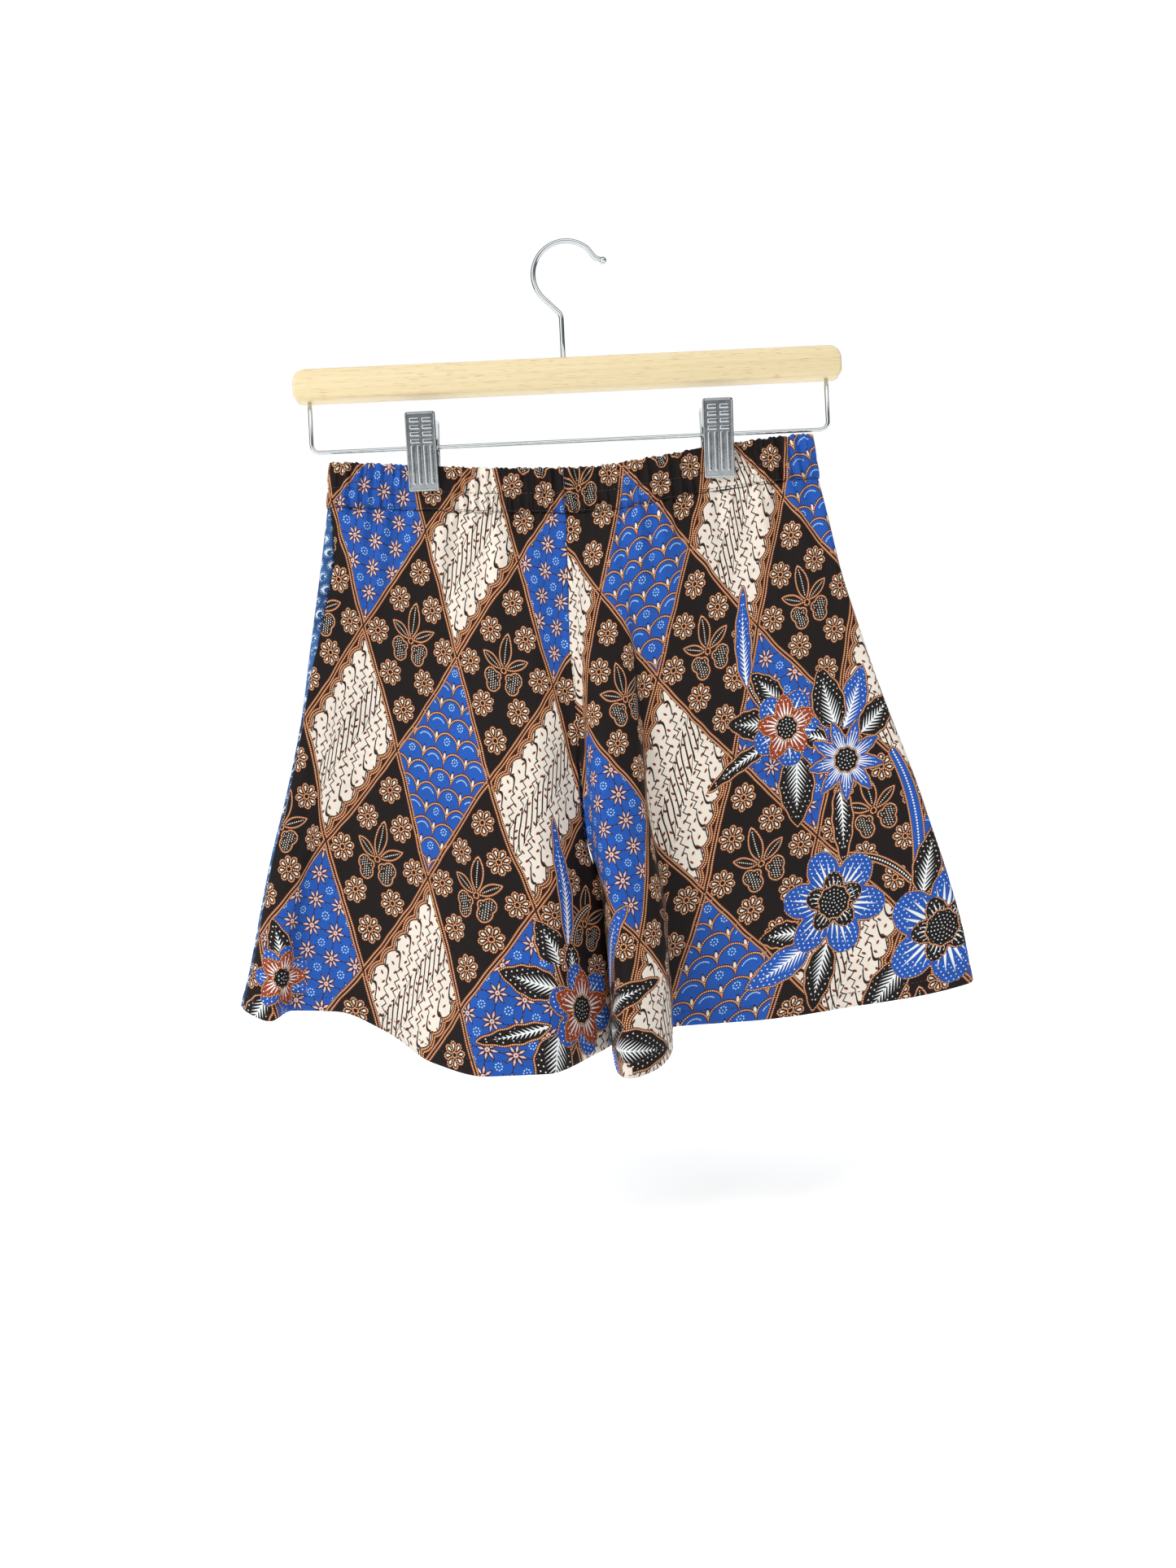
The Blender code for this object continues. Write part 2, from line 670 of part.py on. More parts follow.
def hook_points():
    """The hook's middle line, from inside the bar up the stem, round the arc and out to its tip."""
    centre = (0.0, HOOK_WIRE / 2 - HOOK_RADIUS)
    bend = Vector((STEM_X, 0.0, STEM_BEND_Z))
    to_bend = Vector((bend.x - centre[0], bend.z - centre[1]))
    away = math.atan2(to_bend.y, to_bend.x)
    leave = away - math.acos(HOOK_RADIUS / to_bend.length)
    touch = arc(centre, HOOK_RADIUS, leave, leave, 1)[0]
    foot = Vector((STEM_X, 0.0, BAR_TOP - HOLE_DEPTH + END_CLEARANCE))
    shoulder = arc(centre, HOOK_RADIUS, HOOK_SHOULDER, HOOK_SHOULDER, 1)[0]
    tip = Vector((HOOK_TIP[0], 0.0, HOOK_TIP[1]))
    before = arc(centre, HOOK_RADIUS, HOOK_SHOULDER + BEFORE_TIP, HOOK_SHOULDER + BEFORE_TIP, 1)[0]
    points = [foot] + rounded(foot, bend, touch, STEM_BEND_RADIUS)
    points += arc(centre, HOOK_RADIUS, leave, HOOK_SHOULDER + BEFORE_TIP - 2 * math.pi, HOOK_STEPS)
    points += rounded(before, shoulder + TIP_BEND, tip, TIP_BEND_RADIUS, 3)
    return points + [tip]


def build_hook(steel, collection):
    """The chromed hook with a small ball at its tip."""
    hook = as_mesh(wire_object("hanger_hook", hook_points(), HOOK_WIRE, steel, collection), collection)
    bm = bmesh.new()
    bmesh.ops.create_uvsphere(bm, u_segments=10, v_segments=7, radius=TIP_BALL / 2 * MM)
    mesh = bpy.data.meshes.new("tip_ball")
    bm.to_mesh(mesh)
    bm.free()
    ball = bpy.data.objects.new("tip_ball", mesh)
    ball.location = Vector((HOOK_TIP[0], 0.0, HOOK_TIP[1])) * MM
    TOOLS.objects.link(ball)
    hide_tool(ball)
    add_boolean(hook, ball, "UNION")


def build_rail(steel, collection):
    """The wire that hangs from the bar's ends and carries the clips."""
    left, right = HANGER_X - RAIL_HALF, HANGER_X + RAIL_HALF
    top = BAR_TOP - BAR_HEIGHT + HOLE_DEPTH - END_CLEARANCE
    ends = [Vector((x, 0.0, top)) for x in (left, right)]
    corners = [Vector((x, 0.0, RAIL_Z)) for x in (left, right)]
    points = [ends[0]] + rounded(ends[0], corners[0], corners[1], RAIL_CORNER)
    points += rounded(corners[0], corners[1], ends[1], RAIL_CORNER) + [ends[1]]
    wire_object("hanger_rail", points, RAIL_WIRE, steel, collection)


def box_in(bm, size, centre):
    """A box added to a mesh being made."""
    place = Matrix.Translation(Vector(centre) * MM) @ Matrix.Diagonal((*(v * MM for v in size), 1.0))
    return bmesh.ops.create_cube(bm, size=1.0, matrix=place)["verts"]


def build_bar(collection):
    """The wooden bar, rounded at its ends, with a blind hole for the stem and one for each end of
    the rail."""
    wood = make_material("pale_wood", (0.72, 0.56, 0.36), 0.55)
    bm = bmesh.new()
    middle = BAR_TOP - BAR_HEIGHT / 2
    box_in(bm, (BAR_LENGTH, BAR_DEPTH, BAR_HEIGHT), (HANGER_X, 0.0, middle))
    for upper, radius, segments in ((True, BAR_TOP_CORNER, 5), (False, BAR_FOOT_CORNER, 4)):
        corners = [
            edge
            for edge in bm.edges
            if abs(edge.verts[0].co.y - edge.verts[1].co.y) > BAR_DEPTH * MM / 2
            and (edge.verts[0].co.z > middle * MM) == upper
        ]
        bmesh.ops.bevel(
            bm, geom=corners, offset=radius * MM, segments=segments, profile=0.5, affect="EDGES"
        )
    rims = [
        edge
        for edge in bm.edges
        if edge.calc_face_angle(0.0) > 1.0
        and abs(edge.verts[0].co.y - edge.verts[1].co.y) < 0.0001
    ]
    bmesh.ops.bevel(bm, geom=rims, offset=BAR_EDGE * MM, segments=2, profile=0.5, affect="EDGES")
    mesh = bpy.data.meshes.new("hanger_bar")
    bm.to_mesh(mesh)
    bm.free()
    mesh.materials.append(wood)
    mesh.shade_smooth()
    mesh.set_sharp_from_angle(angle=math.radians(35))
    bar = bpy.data.objects.new("hanger_bar", mesh)
    collection.objects.link(bar)
    holes = (
        ("stem_hole", STEM_X, HOOK_WIRE, BAR_TOP),
        ("left_rail_hole", HANGER_X - RAIL_HALF, RAIL_WIRE, BAR_TOP - BAR_HEIGHT),
        ("right_rail_hole", HANGER_X + RAIL_HALF, RAIL_WIRE, BAR_TOP - BAR_HEIGHT),
    )
    for name, x, wire, z in holes:
        bm = bmesh.new()
        radius = (wire / 2 + HOLE_CLEARANCE) * MM
        bmesh.ops.create_cone(
            bm,
            cap_ends=True,
            segments=HOLE_SIDES,
            radius1=radius,
            radius2=radius,
            depth=2 * HOLE_DEPTH * MM,
        )
        mesh = bpy.data.meshes.new(name)
        bm.to_mesh(mesh)
        bm.free()
        drill = bpy.data.objects.new(name, mesh)
        drill.location = Vector((x, 0.0, z)) * MM
        TOOLS.objects.link(drill)
        hide_tool(drill)
        add_boolean(bar, drill, "DIFFERENCE")


def mesh_from(bm, name):
    mesh = bpy.data.meshes.new(name)
    bm.to_mesh(mesh)
    bm.free()
    return mesh


def clip_mesh(steel):
    """One jaw: a bent plate with its relief, ears and lip. The jaw stands on its lip at the origin:
    its inner face looks to +Y and it rises along +Z."""
    plate = bmesh.new()
    inner = -LIP_DEPTH
    box_in(
        plate,
        (CLIP_WIDTH, CLIP_PLATE, CLIP_HEIGHT),
        (0.0, inner - CLIP_PLATE / 2, CLIP_HEIGHT / 2),
    )
    edges = [edge for edge in plate.edges if abs(edge.verts[0].co.y - edge.verts[1].co.y) > 0.0001]
    bmesh.ops.bevel(
        plate, geom=edges, offset=CLIP_CORNER * MM, segments=2, profile=0.5, affect="EDGES"
    )
    details = bmesh.new()
    face = inner - CLIP_PLATE
    lip = LIP_DEPTH + SUNK
    box_in(
        details,
        (CLIP_WIDTH - 0.5, lip, LIP_HEIGHT),
        (0.0, -lip / 2, LIP_HEIGHT / 2 + 0.35),
    )
    pivot = (RAIL_Z - CLIP_FOOT_Z) / math.cos(CLIP_TILT)
    to_rail = JAW_STAND + pivot * math.sin(CLIP_TILT) - RAIL_WIRE / 2 - EAR_CLEARANCE
    for side in (LEFT, RIGHT):
        x = side * (CLIP_WIDTH - CLIP_PLATE - 0.3) / 2
        reach = to_rail + LIP_DEPTH + SUNK
        box_in(details, (CLIP_PLATE, reach, EAR_HEIGHT), (x, inner - SUNK + reach / 2, pivot))
        flange = FLANGE - LIP_DEPTH + SUNK
        box_in(
            details,
            (CLIP_PLATE - 0.2, flange, CLIP_HEIGHT - 2 * FLANGE_SHORT),
            (x, inner - SUNK + flange / 2, CLIP_HEIGHT / 2 + 1.0),
        )
    out = RELIEF + SUNK
    for row in range(BLOCK_ROWS):
        z = CLIP_HEIGHT - BLOCKS_FROM_TOP - row * BLOCK_PITCH
        for side in (LEFT, RIGHT):
            box_in(
                details,
                (BLOCK_WIDTH, out, BLOCK_HEIGHT),
                (side * (BLOCK_WIDTH / 2 + BLOCK_GAP / 2), face + SUNK - out / 2, z),
            )
    for column in range(RIB_COUNT):
        x = (column - (RIB_COUNT - 1) / 2) * RIB_PITCH
        z = RIBS_FROM_FOOT + RIB_LENGTH / 2
        box_in(details, (RIB_WIDTH, out, RIB_LENGTH), (x, face + SUNK - out / 2, z))
    jaw = bpy.data.objects.new("jaw", mesh_from(plate, "clip_plate"))
    jaw.data.materials.append(steel)
    relief = bpy.data.objects.new("jaw_relief", mesh_from(details, "clip_details"))
    TOOLS.objects.link(jaw)
    TOOLS.objects.link(relief)
    add_boolean(jaw, relief, "UNION")
    bpy.context.view_layer.update()
    graph = bpy.context.evaluated_depsgraph_get()
    joined = bpy.data.meshes.new_from_object(jaw.evaluated_get(graph))
    joined.name = "clip_jaw"
    joined.materials.clear()
    joined.materials.append(steel)
    for piece in (jaw, relief):
        bpy.data.objects.remove(piece, do_unlink=True)
    return joined


def build_clips(steel, collection):
    """Two spring clips that press the casing between a front and a back jaw."""
    mesh = clip_mesh(steel)
    for side, word in ((LEFT, "left"), (RIGHT, "right")):
        x = HANGER_X + side * CLIP_OFFSET
        for face, kind, turn in ((FRONT, "front", 0.0), (BACK, "back", math.pi)):
            jaw = bpy.data.objects.new(f"clip_{word}_{kind}_jaw", mesh)
            jaw.location = Vector((x, face * JAW_STAND, CLIP_FOOT_Z)) * MM
            jaw.rotation_euler = (CLIP_TILT, 0.0, turn)
            collection.objects.link(jaw)
        build_spring(f"clip_{word}_spring", x, steel, collection)


def build_spring(name, x, steel, collection):
    """The coil of a clip's spring, wound round the rail, as a turned sleeve."""
    half = SPRING_LENGTH / 2
    across, along = SPRING_SHOULDER
    profile = [
        (SPRING_BORE, -half),
        (SPRING_RADIUS - across, -half),
        (SPRING_RADIUS, -half + along),
        (SPRING_RADIUS, half - along),
        (SPRING_RADIUS - across, half),
        (SPRING_BORE, half),
    ]
    bm = bmesh.new()
    loop = [bm.verts.new((0.0, radius * MM, place * MM)) for radius, place in profile]
    for first, second in zip(loop, loop[1:] + loop[:1]):
        bm.edges.new((first, second))
    bmesh.ops.spin(
        bm,
        geom=bm.verts[:] + bm.edges[:],
        cent=(0.0, 0.0, 0.0),
        axis=(0.0, 0.0, 1.0),
        angle=2 * math.pi,
        steps=12,
        use_merge=True,
    )
    bmesh.ops.remove_doubles(bm, verts=bm.verts, dist=0.000001)
    bmesh.ops.recalc_face_normals(bm, faces=bm.faces)
    mesh = mesh_from(bm, name)
    mesh.materials.append(steel)
    spring = bpy.data.objects.new(name, mesh)
    spring.location = Vector((x, 0.0, RAIL_Z)) * MM
    spring.rotation_euler = (0.0, math.pi / 2, 0.0)
    collection.objects.link(spring)


clear_scene()
PARTS = make_collection(OBJECT_NAME)
TOOLS = make_collection("cutters")
STEEL = make_material("chromed_steel", (0.75, 0.76, 0.78), 0.16, 1.0)
build_panels(PARTS)
build_casing(PARTS)
build_bar(PARTS)
build_hook(STEEL, PARTS)
build_rail(STEEL, PARTS)
build_clips(STEEL, PARTS)
bpy.context.view_layer.update()
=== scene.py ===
"""Dress the packed batik skort on its clip hanger: cloth in folds, batik print, sewing, wood, chrome.

Left and right are as seen from the front. Tables are in millimetres in the packed part's own frame,
and MM turns them into metres where a mesh or a light is made.
"""

import logging
import math
from dataclasses import dataclass, field
from enum import Enum
from typing import Callable, Sequence, Union

import bmesh
import bpy
import numpy as np
from mathutils import Matrix, Vector

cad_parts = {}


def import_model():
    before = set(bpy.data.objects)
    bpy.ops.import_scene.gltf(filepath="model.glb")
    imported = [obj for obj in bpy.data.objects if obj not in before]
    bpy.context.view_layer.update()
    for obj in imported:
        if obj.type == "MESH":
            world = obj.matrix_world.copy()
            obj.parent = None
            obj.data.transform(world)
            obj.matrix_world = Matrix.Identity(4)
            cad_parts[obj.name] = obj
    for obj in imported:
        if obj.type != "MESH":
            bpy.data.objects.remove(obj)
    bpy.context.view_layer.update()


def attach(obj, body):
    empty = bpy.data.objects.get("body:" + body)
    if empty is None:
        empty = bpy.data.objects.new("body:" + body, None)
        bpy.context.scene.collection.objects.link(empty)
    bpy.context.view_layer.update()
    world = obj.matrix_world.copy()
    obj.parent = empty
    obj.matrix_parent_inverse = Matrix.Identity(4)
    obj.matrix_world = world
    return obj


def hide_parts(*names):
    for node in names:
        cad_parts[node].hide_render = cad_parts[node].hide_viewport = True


Array = np.ndarray
BMesh = bmesh.types.BMesh
Material = bpy.types.Material
Object = bpy.types.Object
Colour = tuple[float, float, float]
Size = tuple[float, float, float]

MM = 0.001
LOG = logging.getLogger("skort")
SAMPLES = 900  # places at which a panel's widths are measured
CHIEF_COLUMNS = 80  # those that tell which way a sheet's normals point
WELD = 0.00002  # metres within which the casing's two ends join
FAR = 999.0  # where a motif's own coordinates are left empty


class Side(Enum):
    """Which half of the skort a panel is, as seen from the front."""

    LEFT = -1
    RIGHT = 1


class Face(Enum):
    """Which face of the skort a panel is on."""

    FRONT = -1
    BACK = 1


# ---- Curves and small sums


def smooth_step(value: Array | float) -> Array:
    """0 below 0, 1 above 1 and a smooth rise between."""
    value = np.clip(value, 0.0, 1.0)
    return value * value * (3.0 - 2.0 * value)


def mix(first: Array | float, second: Array | float, share: Array | float):
    """The value a share of the way from the first to the second."""
    return first + (second - first) * share


def dip(distance: Array, depth: float, width: float) -> Array:
    """A smooth hollow about a line, by the distance from it."""
    return depth * np.exp(-((distance / width) ** 2))


def line_lengths(points: Array) -> Array:
    """Distance along a line of points, from its first."""
    return np.concatenate([[0.0], np.cumsum(np.linalg.norm(np.diff(points, axis=0), axis=1))])


def read_table(place: Array, places: Array, table: Array) -> Array:
    """The columns of a table at new places, by the places of its rows."""
    return np.stack([np.interp(place, places, column) for column in table.T], axis=-1)


class Track:
    """A smooth curve of one value over one place that doesn't swing past its points."""

    def __init__(
        self,
        places: Sequence[float],
        values: Sequence[float],
        flat_start: bool = False,
        flat_end: bool = False,
    ) -> None:
        """Fit the curve.

        Args:
            places: where the values are given, in any order.
            values: the values there.
            flat_start: whether the curve starts level.
            flat_end: whether it ends level.
        """
        order = np.argsort(places)
        self.places = np.array(places, float)[order]
        self.values = np.array(values, float)[order]
        steps = np.diff(self.values) / np.diff(self.places)
        found = np.zeros(len(self.values))
        for i in range(1, len(found) - 1):
            if steps[i - 1] * steps[i] > 0:
                found[i] = 2 * steps[i - 1] * steps[i] / (steps[i - 1] + steps[i])
        found[0] = 0.0 if flat_start else steps[0]
        found[-1] = 0.0 if flat_end else steps[-1]
        self.slopes = found

    def at(self, place: Array | float) -> Array:
        """The value at each place, held level past the ends.

        Args:
            place: places on the curve.
        Returns:
            The values.
        """
        place = np.clip(place, self.places[0], self.places[-1])
        i = np.clip(np.searchsorted(self.places, place, side="right") - 1, 0, len(self.places) - 2)
        width = self.places[i + 1] - self.places[i]
        s = (place - self.places[i]) / width
        return (
            self.values[i] * (1 + 2 * s) * (1 - s) ** 2
            + self.slopes[i] * width * s * (1 - s) ** 2
            + self.values[i + 1] * s * s * (3 - 2 * s)
            + self.slopes[i + 1] * width * s * s * (s - 1)
        )


# ---- The garment's own sizes, as the part's source has them


@dataclass(frozen=True)
class Height:
    """The skort's outline at one height: its two side edges and the line where the legs meet."""

    z: float
    left: float
    right: float
    valley: float


OUTLINE = (
    Height(-130.0, -159.6, 149.5, -6.5),
    Height(-160.0, -160.6, 156.4, -7.0),
    Height(-187.0, -164.4, 162.0, -7.5),
    Height(-219.0, -169.8, 168.3, -8.0),
    Height(-252.0, -175.6, 177.2, -8.5),
    Height(-300.0, -183.8, 191.3, -6.5),
    Height(-355.0, -197.5, 209.8, -5.5),
    Height(-385.0, -206.4, 218.6, -3.5),
    Height(-420.0, -215.0, 228.5, 1.5),
    Height(-455.0, -223.0, 236.5, 3.5),
    Height(-486.0, -231.0, 240.8, 4.5),
    Height(-525.0, -237.0, 246.0, 4.5),
)


@dataclass(frozen=True)
class WaistPoint:
    """The height of the waist's top edge at one place across it."""

    x: float
    top: float


WAIST_TOP = (
    WaistPoint(-165.0, -135.0),
    WaistPoint(-98.0, -139.8),
    WaistPoint(-45.0, -144.8),
    WaistPoint(7.0, -146.8),
    WaistPoint(50.0, -142.0),
    WaistPoint(92.0, -135.3),
    WaistPoint(158.0, -130.6),
)


@dataclass(frozen=True)
class Wrap:
    """How far the left back panel turns round the side edge to the front, at one height."""

    z: float
    width: float


LEFT_WRAP = (
    Wrap(-165.0, 2.8),
    Wrap(-200.0, 8.9),
    Wrap(-230.0, 7.1),
    Wrap(-252.0, 5.2),
    Wrap(-277.0, 2.2),
    Wrap(-300.0, 1.6),
    Wrap(-490.0, 1.6),
)


@dataclass(frozen=True)
class Fold:
    """A line down a panel along a ridge, a trough or an edge, from the waist seam to the hem, and
    the height below which it leaves the waist's flatness."""

    name: str
    waist_x: float
    waist_y: float
    hem_x: float
    hem_y: float
    hem_z: float
    starts: float


FOLDS = {
    (Side.LEFT, Face.FRONT): (
        Fold("side edge", -160.8, 0.0, -231.0, 0.0, -482.0, -165.0),
        Fold("edge round", -158.8, -3.3, -227.8, -6.0, -484.5, -165.0),
        Fold("side roll", -148.0, -4.2, -210.0, -15.0, -491.0, -350.0),
        Fold("side trough", -134.0, -3.6, -199.0, -2.0, -487.0, -350.0),
        Fold("left flat", -112.0, -1.75, -168.0, -8.0, -488.0, -200.0),
        Fold("shoulder", -88.0, -1.75, -134.0, -20.0, -501.0, -200.0),
        Fold("shoulder end", -70.0, -3.4, -103.0, -42.0, -517.0, -195.0),
        Fold("leg roll", -51.0, -5.6, -69.0, -63.0, -522.0, -190.0),
        Fold("leg roll end", -30.0, -7.2, -34.0, -64.0, -522.0, -190.0),
        Fold("mouth", -11.0, -7.8, -0.6, -28.0, -517.0, -190.0),
    ),
    (Side.RIGHT, Face.FRONT): (
        Fold("mouth", -2.0, -7.8, 6.6, -27.0, -518.5, -190.0),
        Fold("pipe flank", 3.0, -7.9, 9.3, -54.0, -525.5, -205.0),
        Fold("pipe crest", 11.0, -7.9, 16.0, -66.0, -526.5, -205.0),
        Fold("pipe slope", 22.0, -7.8, 31.3, -57.0, -524.0, -205.0),
        Fold("pipe edge", 29.0, -7.6, 42.5, -40.0, -517.0, -205.0),
        Fold("pipe foot", 34.0, -7.3, 46.0, -7.0, -508.0, -205.0),
        Fold("right flat", 56.0, -5.0, 88.0, -3.0, -507.3, -190.0),
        Fold("clip inner", 78.0, -1.75, 122.0, -8.0, -504.5, -200.0),
        Fold("clip outer", 106.0, -1.75, 165.0, -3.5, -500.5, -200.0),
        Fold("right sway", 134.0, -3.8, 207.0, -8.0, -494.8, -200.0),
        Fold("edge round", 154.4, -3.3, 238.0, -5.5, -488.5, -165.0),
        Fold("side edge", 156.4, 0.0, 240.8, 0.0, -486.5, -160.0),
    ),
    (Side.LEFT, Face.BACK): (
        Fold("side edge", -160.8, 0.0, -231.0, 0.0, -482.0, -165.0),
        Fold("edge round", -158.8, 3.3, -227.8, 6.0, -483.0, -165.0),
        Fold("outer roll", -138.0, 3.6, -192.0, 22.0, -486.0, -230.0),
        Fold("outer trough", -112.0, 1.75, -157.0, 9.0, -490.0, -200.0),
        Fold("middle roll", -84.0, 1.75, -117.0, 25.0, -495.0, -210.0),
        Fold("inner trough", -50.0, 5.5, -72.0, 12.0, -500.0, -190.0),
        Fold("inner roll", -26.0, 7.5, -34.0, 27.0, -504.0, -220.0),
        Fold("mouth", -11.0, 7.8, 0.2, 20.0, -508.0, -190.0),
    ),
    (Side.RIGHT, Face.BACK): (
        Fold("mouth", -2.5, 7.8, 9.5, 19.0, -508.0, -190.0),
        Fold("inner roll", 18.0, 7.6, 38.0, 24.0, -504.0, -220.0),
        Fold("inner trough", 48.0, 5.6, 79.0, 11.0, -501.0, -190.0),
        Fold("middle roll", 78.0, 1.75, 124.0, 26.0, -496.0, -215.0),
        Fold("outer trough", 106.0, 1.75, 168.0, 8.0, -491.0, -200.0),
        Fold("outer roll", 134.0, 3.8, 203.0, 19.0, -488.0, -240.0),
        Fold("edge round", 154.4, 3.3, 238.0, 5.5, -486.5, -165.0),
        Fold("side edge", 156.4, 0.0, 240.8, 0.0, -486.5, -160.0),
    ),
}


@dataclass(frozen=True)
class Crease:
    """A soft ridge, or a trough where its depth is below 0, that runs down a panel.

    Its place is given over the panel's fold lines at its upper end, lean is how many fold lines it
    moves over by its foot, top is its start below the waist seam."""

    place: float
    top: float
    length: float
    width: float
    depth: float
    lean: float = 0.0


CREASES = {
    (Side.LEFT, Face.FRONT): (
        Crease(1.15, 0, 92, 8.0, 0.9, 0.05),
        Crease(1.75, 0, 150, 9.5, 1.3, 0.18),
        Crease(2.35, 0, 66, 7.0, -0.8, -0.05),
        Crease(2.9, 0, 118, 8.5, 1.1, 0.1),
        Crease(3.45, 0, 48, 6.5, 0.9),
        Crease(4.6, 0, 74, 8.0, 1.0, -0.08),
        Crease(5.0, 0, 172, 10.0, 1.5, -0.2),
        Crease(5.45, 0, 84, 7.5, -1.0, 0.05),
        Crease(5.95, 0, 142, 9.0, 1.5, 0.12),
        Crease(6.5, 0, 60, 7.0, 1.0),
        Crease(7.05, 0, 196, 10.5, 1.4, -0.22),
        Crease(7.55, 0, 70, 7.0, -0.9),
        Crease(8.05, 0, 128, 8.5, 1.3, 0.1),
        Crease(8.55, 0, 54, 6.5, 0.9),
        Crease(3.7, 130, 190, 15.0, -1.0, 0.15),
        Crease(6.3, 150, 170, 16.0, -1.1, -0.2),
    ),
    (Side.RIGHT, Face.FRONT): (
        Crease(1.6, 0, 70, 6.5, 0.8),
        Crease(2.9, 0, 96, 6.5, 0.9, 0.1),
        Crease(5.4, 0, 62, 7.5, 1.0, -0.05),
        Crease(5.85, 0, 150, 9.5, 1.4, 0.15),
        Crease(6.35, 0, 76, 7.5, -1.0),
        Crease(6.8, 0, 118, 8.5, 1.3, 0.1),
        Crease(7.25, 0, 64, 7.0, 0.9),
        Crease(8.3, 0, 92, 8.0, 1.1, -0.1),
        Crease(8.7, 0, 56, 7.0, -0.9),
        Crease(9.1, 0, 160, 9.5, 1.4, 0.12),
        Crease(9.55, 0, 74, 7.5, 1.0),
        Crease(7.6, 0, 205, 13.0, -1.3, 0.25),
        Crease(6.2, 140, 190, 16.0, 1.1, 0.2),
        Crease(8.6, 120, 210, 17.0, -1.1, 0.15),
    ),
    (Side.LEFT, Face.BACK): (
        Crease(1.4, 0, 110, 9.0, 1.2, 0.1),
        Crease(2.3, 0, 70, 8.0, -0.9),
        Crease(3.1, 0, 150, 10.0, 1.3, -0.1),
        Crease(3.9, 0, 84, 8.5, 1.0),
        Crease(4.6, 0, 128, 9.0, 1.3, 0.12),
        Crease(5.3, 0, 64, 8.0, -0.9),
        Crease(6.1, 0, 142, 9.5, 1.3, -0.1),
        Crease(3.5, 140, 180, 17.0, -1.1, 0.1),
    ),
    (Side.RIGHT, Face.BACK): (
        Crease(0.8, 0, 128, 9.0, 1.2, 0.1),
        Crease(1.5, 0, 66, 8.0, -0.9),
        Crease(2.2, 0, 150, 9.5, 1.3, 0.1),
        Crease(3.0, 0, 82, 8.5, 1.0),
        Crease(3.8, 0, 136, 9.5, 1.3, -0.1),
        Crease(4.6, 0, 72, 8.0, -0.9),
        Crease(5.4, 0, 120, 9.0, 1.2, 0.1),
        Crease(3.4, 150, 170, 17.0, 1.0, -0.1),
    ),
}


@dataclass
class Cut:
    """How the skort is cut and how it hangs: the sizes that all its pieces share."""

    seam: float = 0.4
    casing_height: float = 29.0
    casing_wall: float = 2.2
    casing_taper: float = 0.022
    waist_centre: float = -4.0
    gathers: int = 92
    gather_depth: float = 1.15
    gather_at_middle: float = 0.75
    gather_at_sides: float = 0.35
    side_turn: float = 12.0
    gathered_to: float = 0.76  # width of the gathered waist over its flat width
    tuck_depth: float = 1.6
    tuck_lift: float = 0.6
    tuck_fade: float = 75.0
    tuck_rise: float = 15.0  # below the casing, over which the tucks swell
    tucks: dict[Face, int] = field(default_factory=lambda: {Face.FRONT: 8, Face.BACK: 6})
    rise_starts: float = -300.0
    crotch: float = -420.0
    cloth: float = 1.2
    bent: float = 0.6
    leg_gap: float = 0.8
    leg_slant: float = 0.06
    leg_bulge: float = 4.6  # how far both legs' inner sides swing to one side between front and back
    swing_starts: float = -388.0
    swing_rise: float = 30.0  # height over which the swing grows
    swing_depth: float = 9.0  # depth of an inner side from which it is full
    back_stagger: float = 1.0
    seat_hem: float = -513.0
    fold_power: float = 1.25
    bend_worth: float = 9.0
    clip_middle: float = -2.5
    clip_offset: float = 95.0
    clip_width: float = 19.3
    pinch_fade: float = 8.0
    stitch_rows: tuple[float, float] = (16.0, 27.6)  # below the casing's top
    hem_height: float = 9.0

    def __post_init__(self) -> None:
        """Fit the outline's curves."""
        z = [row.z for row in OUTLINE]
        self.left_edge = Track(z, [row.left for row in OUTLINE])
        self.right_edge = Track(z, [row.right for row in OUTLINE])
        self.valley = Track(z, [row.valley for row in OUTLINE])
        self.waist_edge = Track([row.x for row in WAIST_TOP], [row.top for row in WAIST_TOP])
        self.wrap = Track([row.z for row in LEFT_WRAP], [row.width for row in LEFT_WRAP])

    def seam_height(self, x: Array | float) -> Array:
        """Height of the foot of the casing at x."""
        return self.waist_edge.at(x) - self.casing_height

    def clip_hold(self, x: Array) -> Array:
        """1 under a clip, where the casing is pressed flat, to 0 away from it."""
        near = np.abs(np.abs(x - self.clip_middle) - self.clip_offset)
        return 1 - smooth_step((near - self.clip_width / 2 - 1.0) / self.pinch_fade)


def lengths_along(points: Array, axis: int) -> Array:
    """Distance along a grid of points in one direction, from its first row or column.

    Args:
        points: rows and columns of points.
        axis: 0 down the rows, 1 across the columns.
    Returns:
        The distance at each point.
    """
    steps = np.linalg.norm(np.diff(points, axis=axis), axis=2)
    start = np.zeros((1, steps.shape[1]) if axis == 0 else (steps.shape[0], 1))
    return np.concatenate([start, np.cumsum(steps, axis=axis)], axis=axis)


def lengths_to_foot(points: Array) -> Array:
    """Distance down a grid of points to its last row."""
    below = lengths_along(points, 0)
    return below[-1:] - below


def grid_normals(points: Array) -> Array:
    """A normal at each point of a grid of points.

    Args:
        points: rows and columns of points.
    Returns:
        The normals, of length 1.
    """
    down = np.gradient(points, axis=0)
    across = np.gradient(points, axis=1)
    found = np.cross(across, down)
    return found / np.maximum(np.linalg.norm(found, axis=2, keepdims=True), 1e-9)


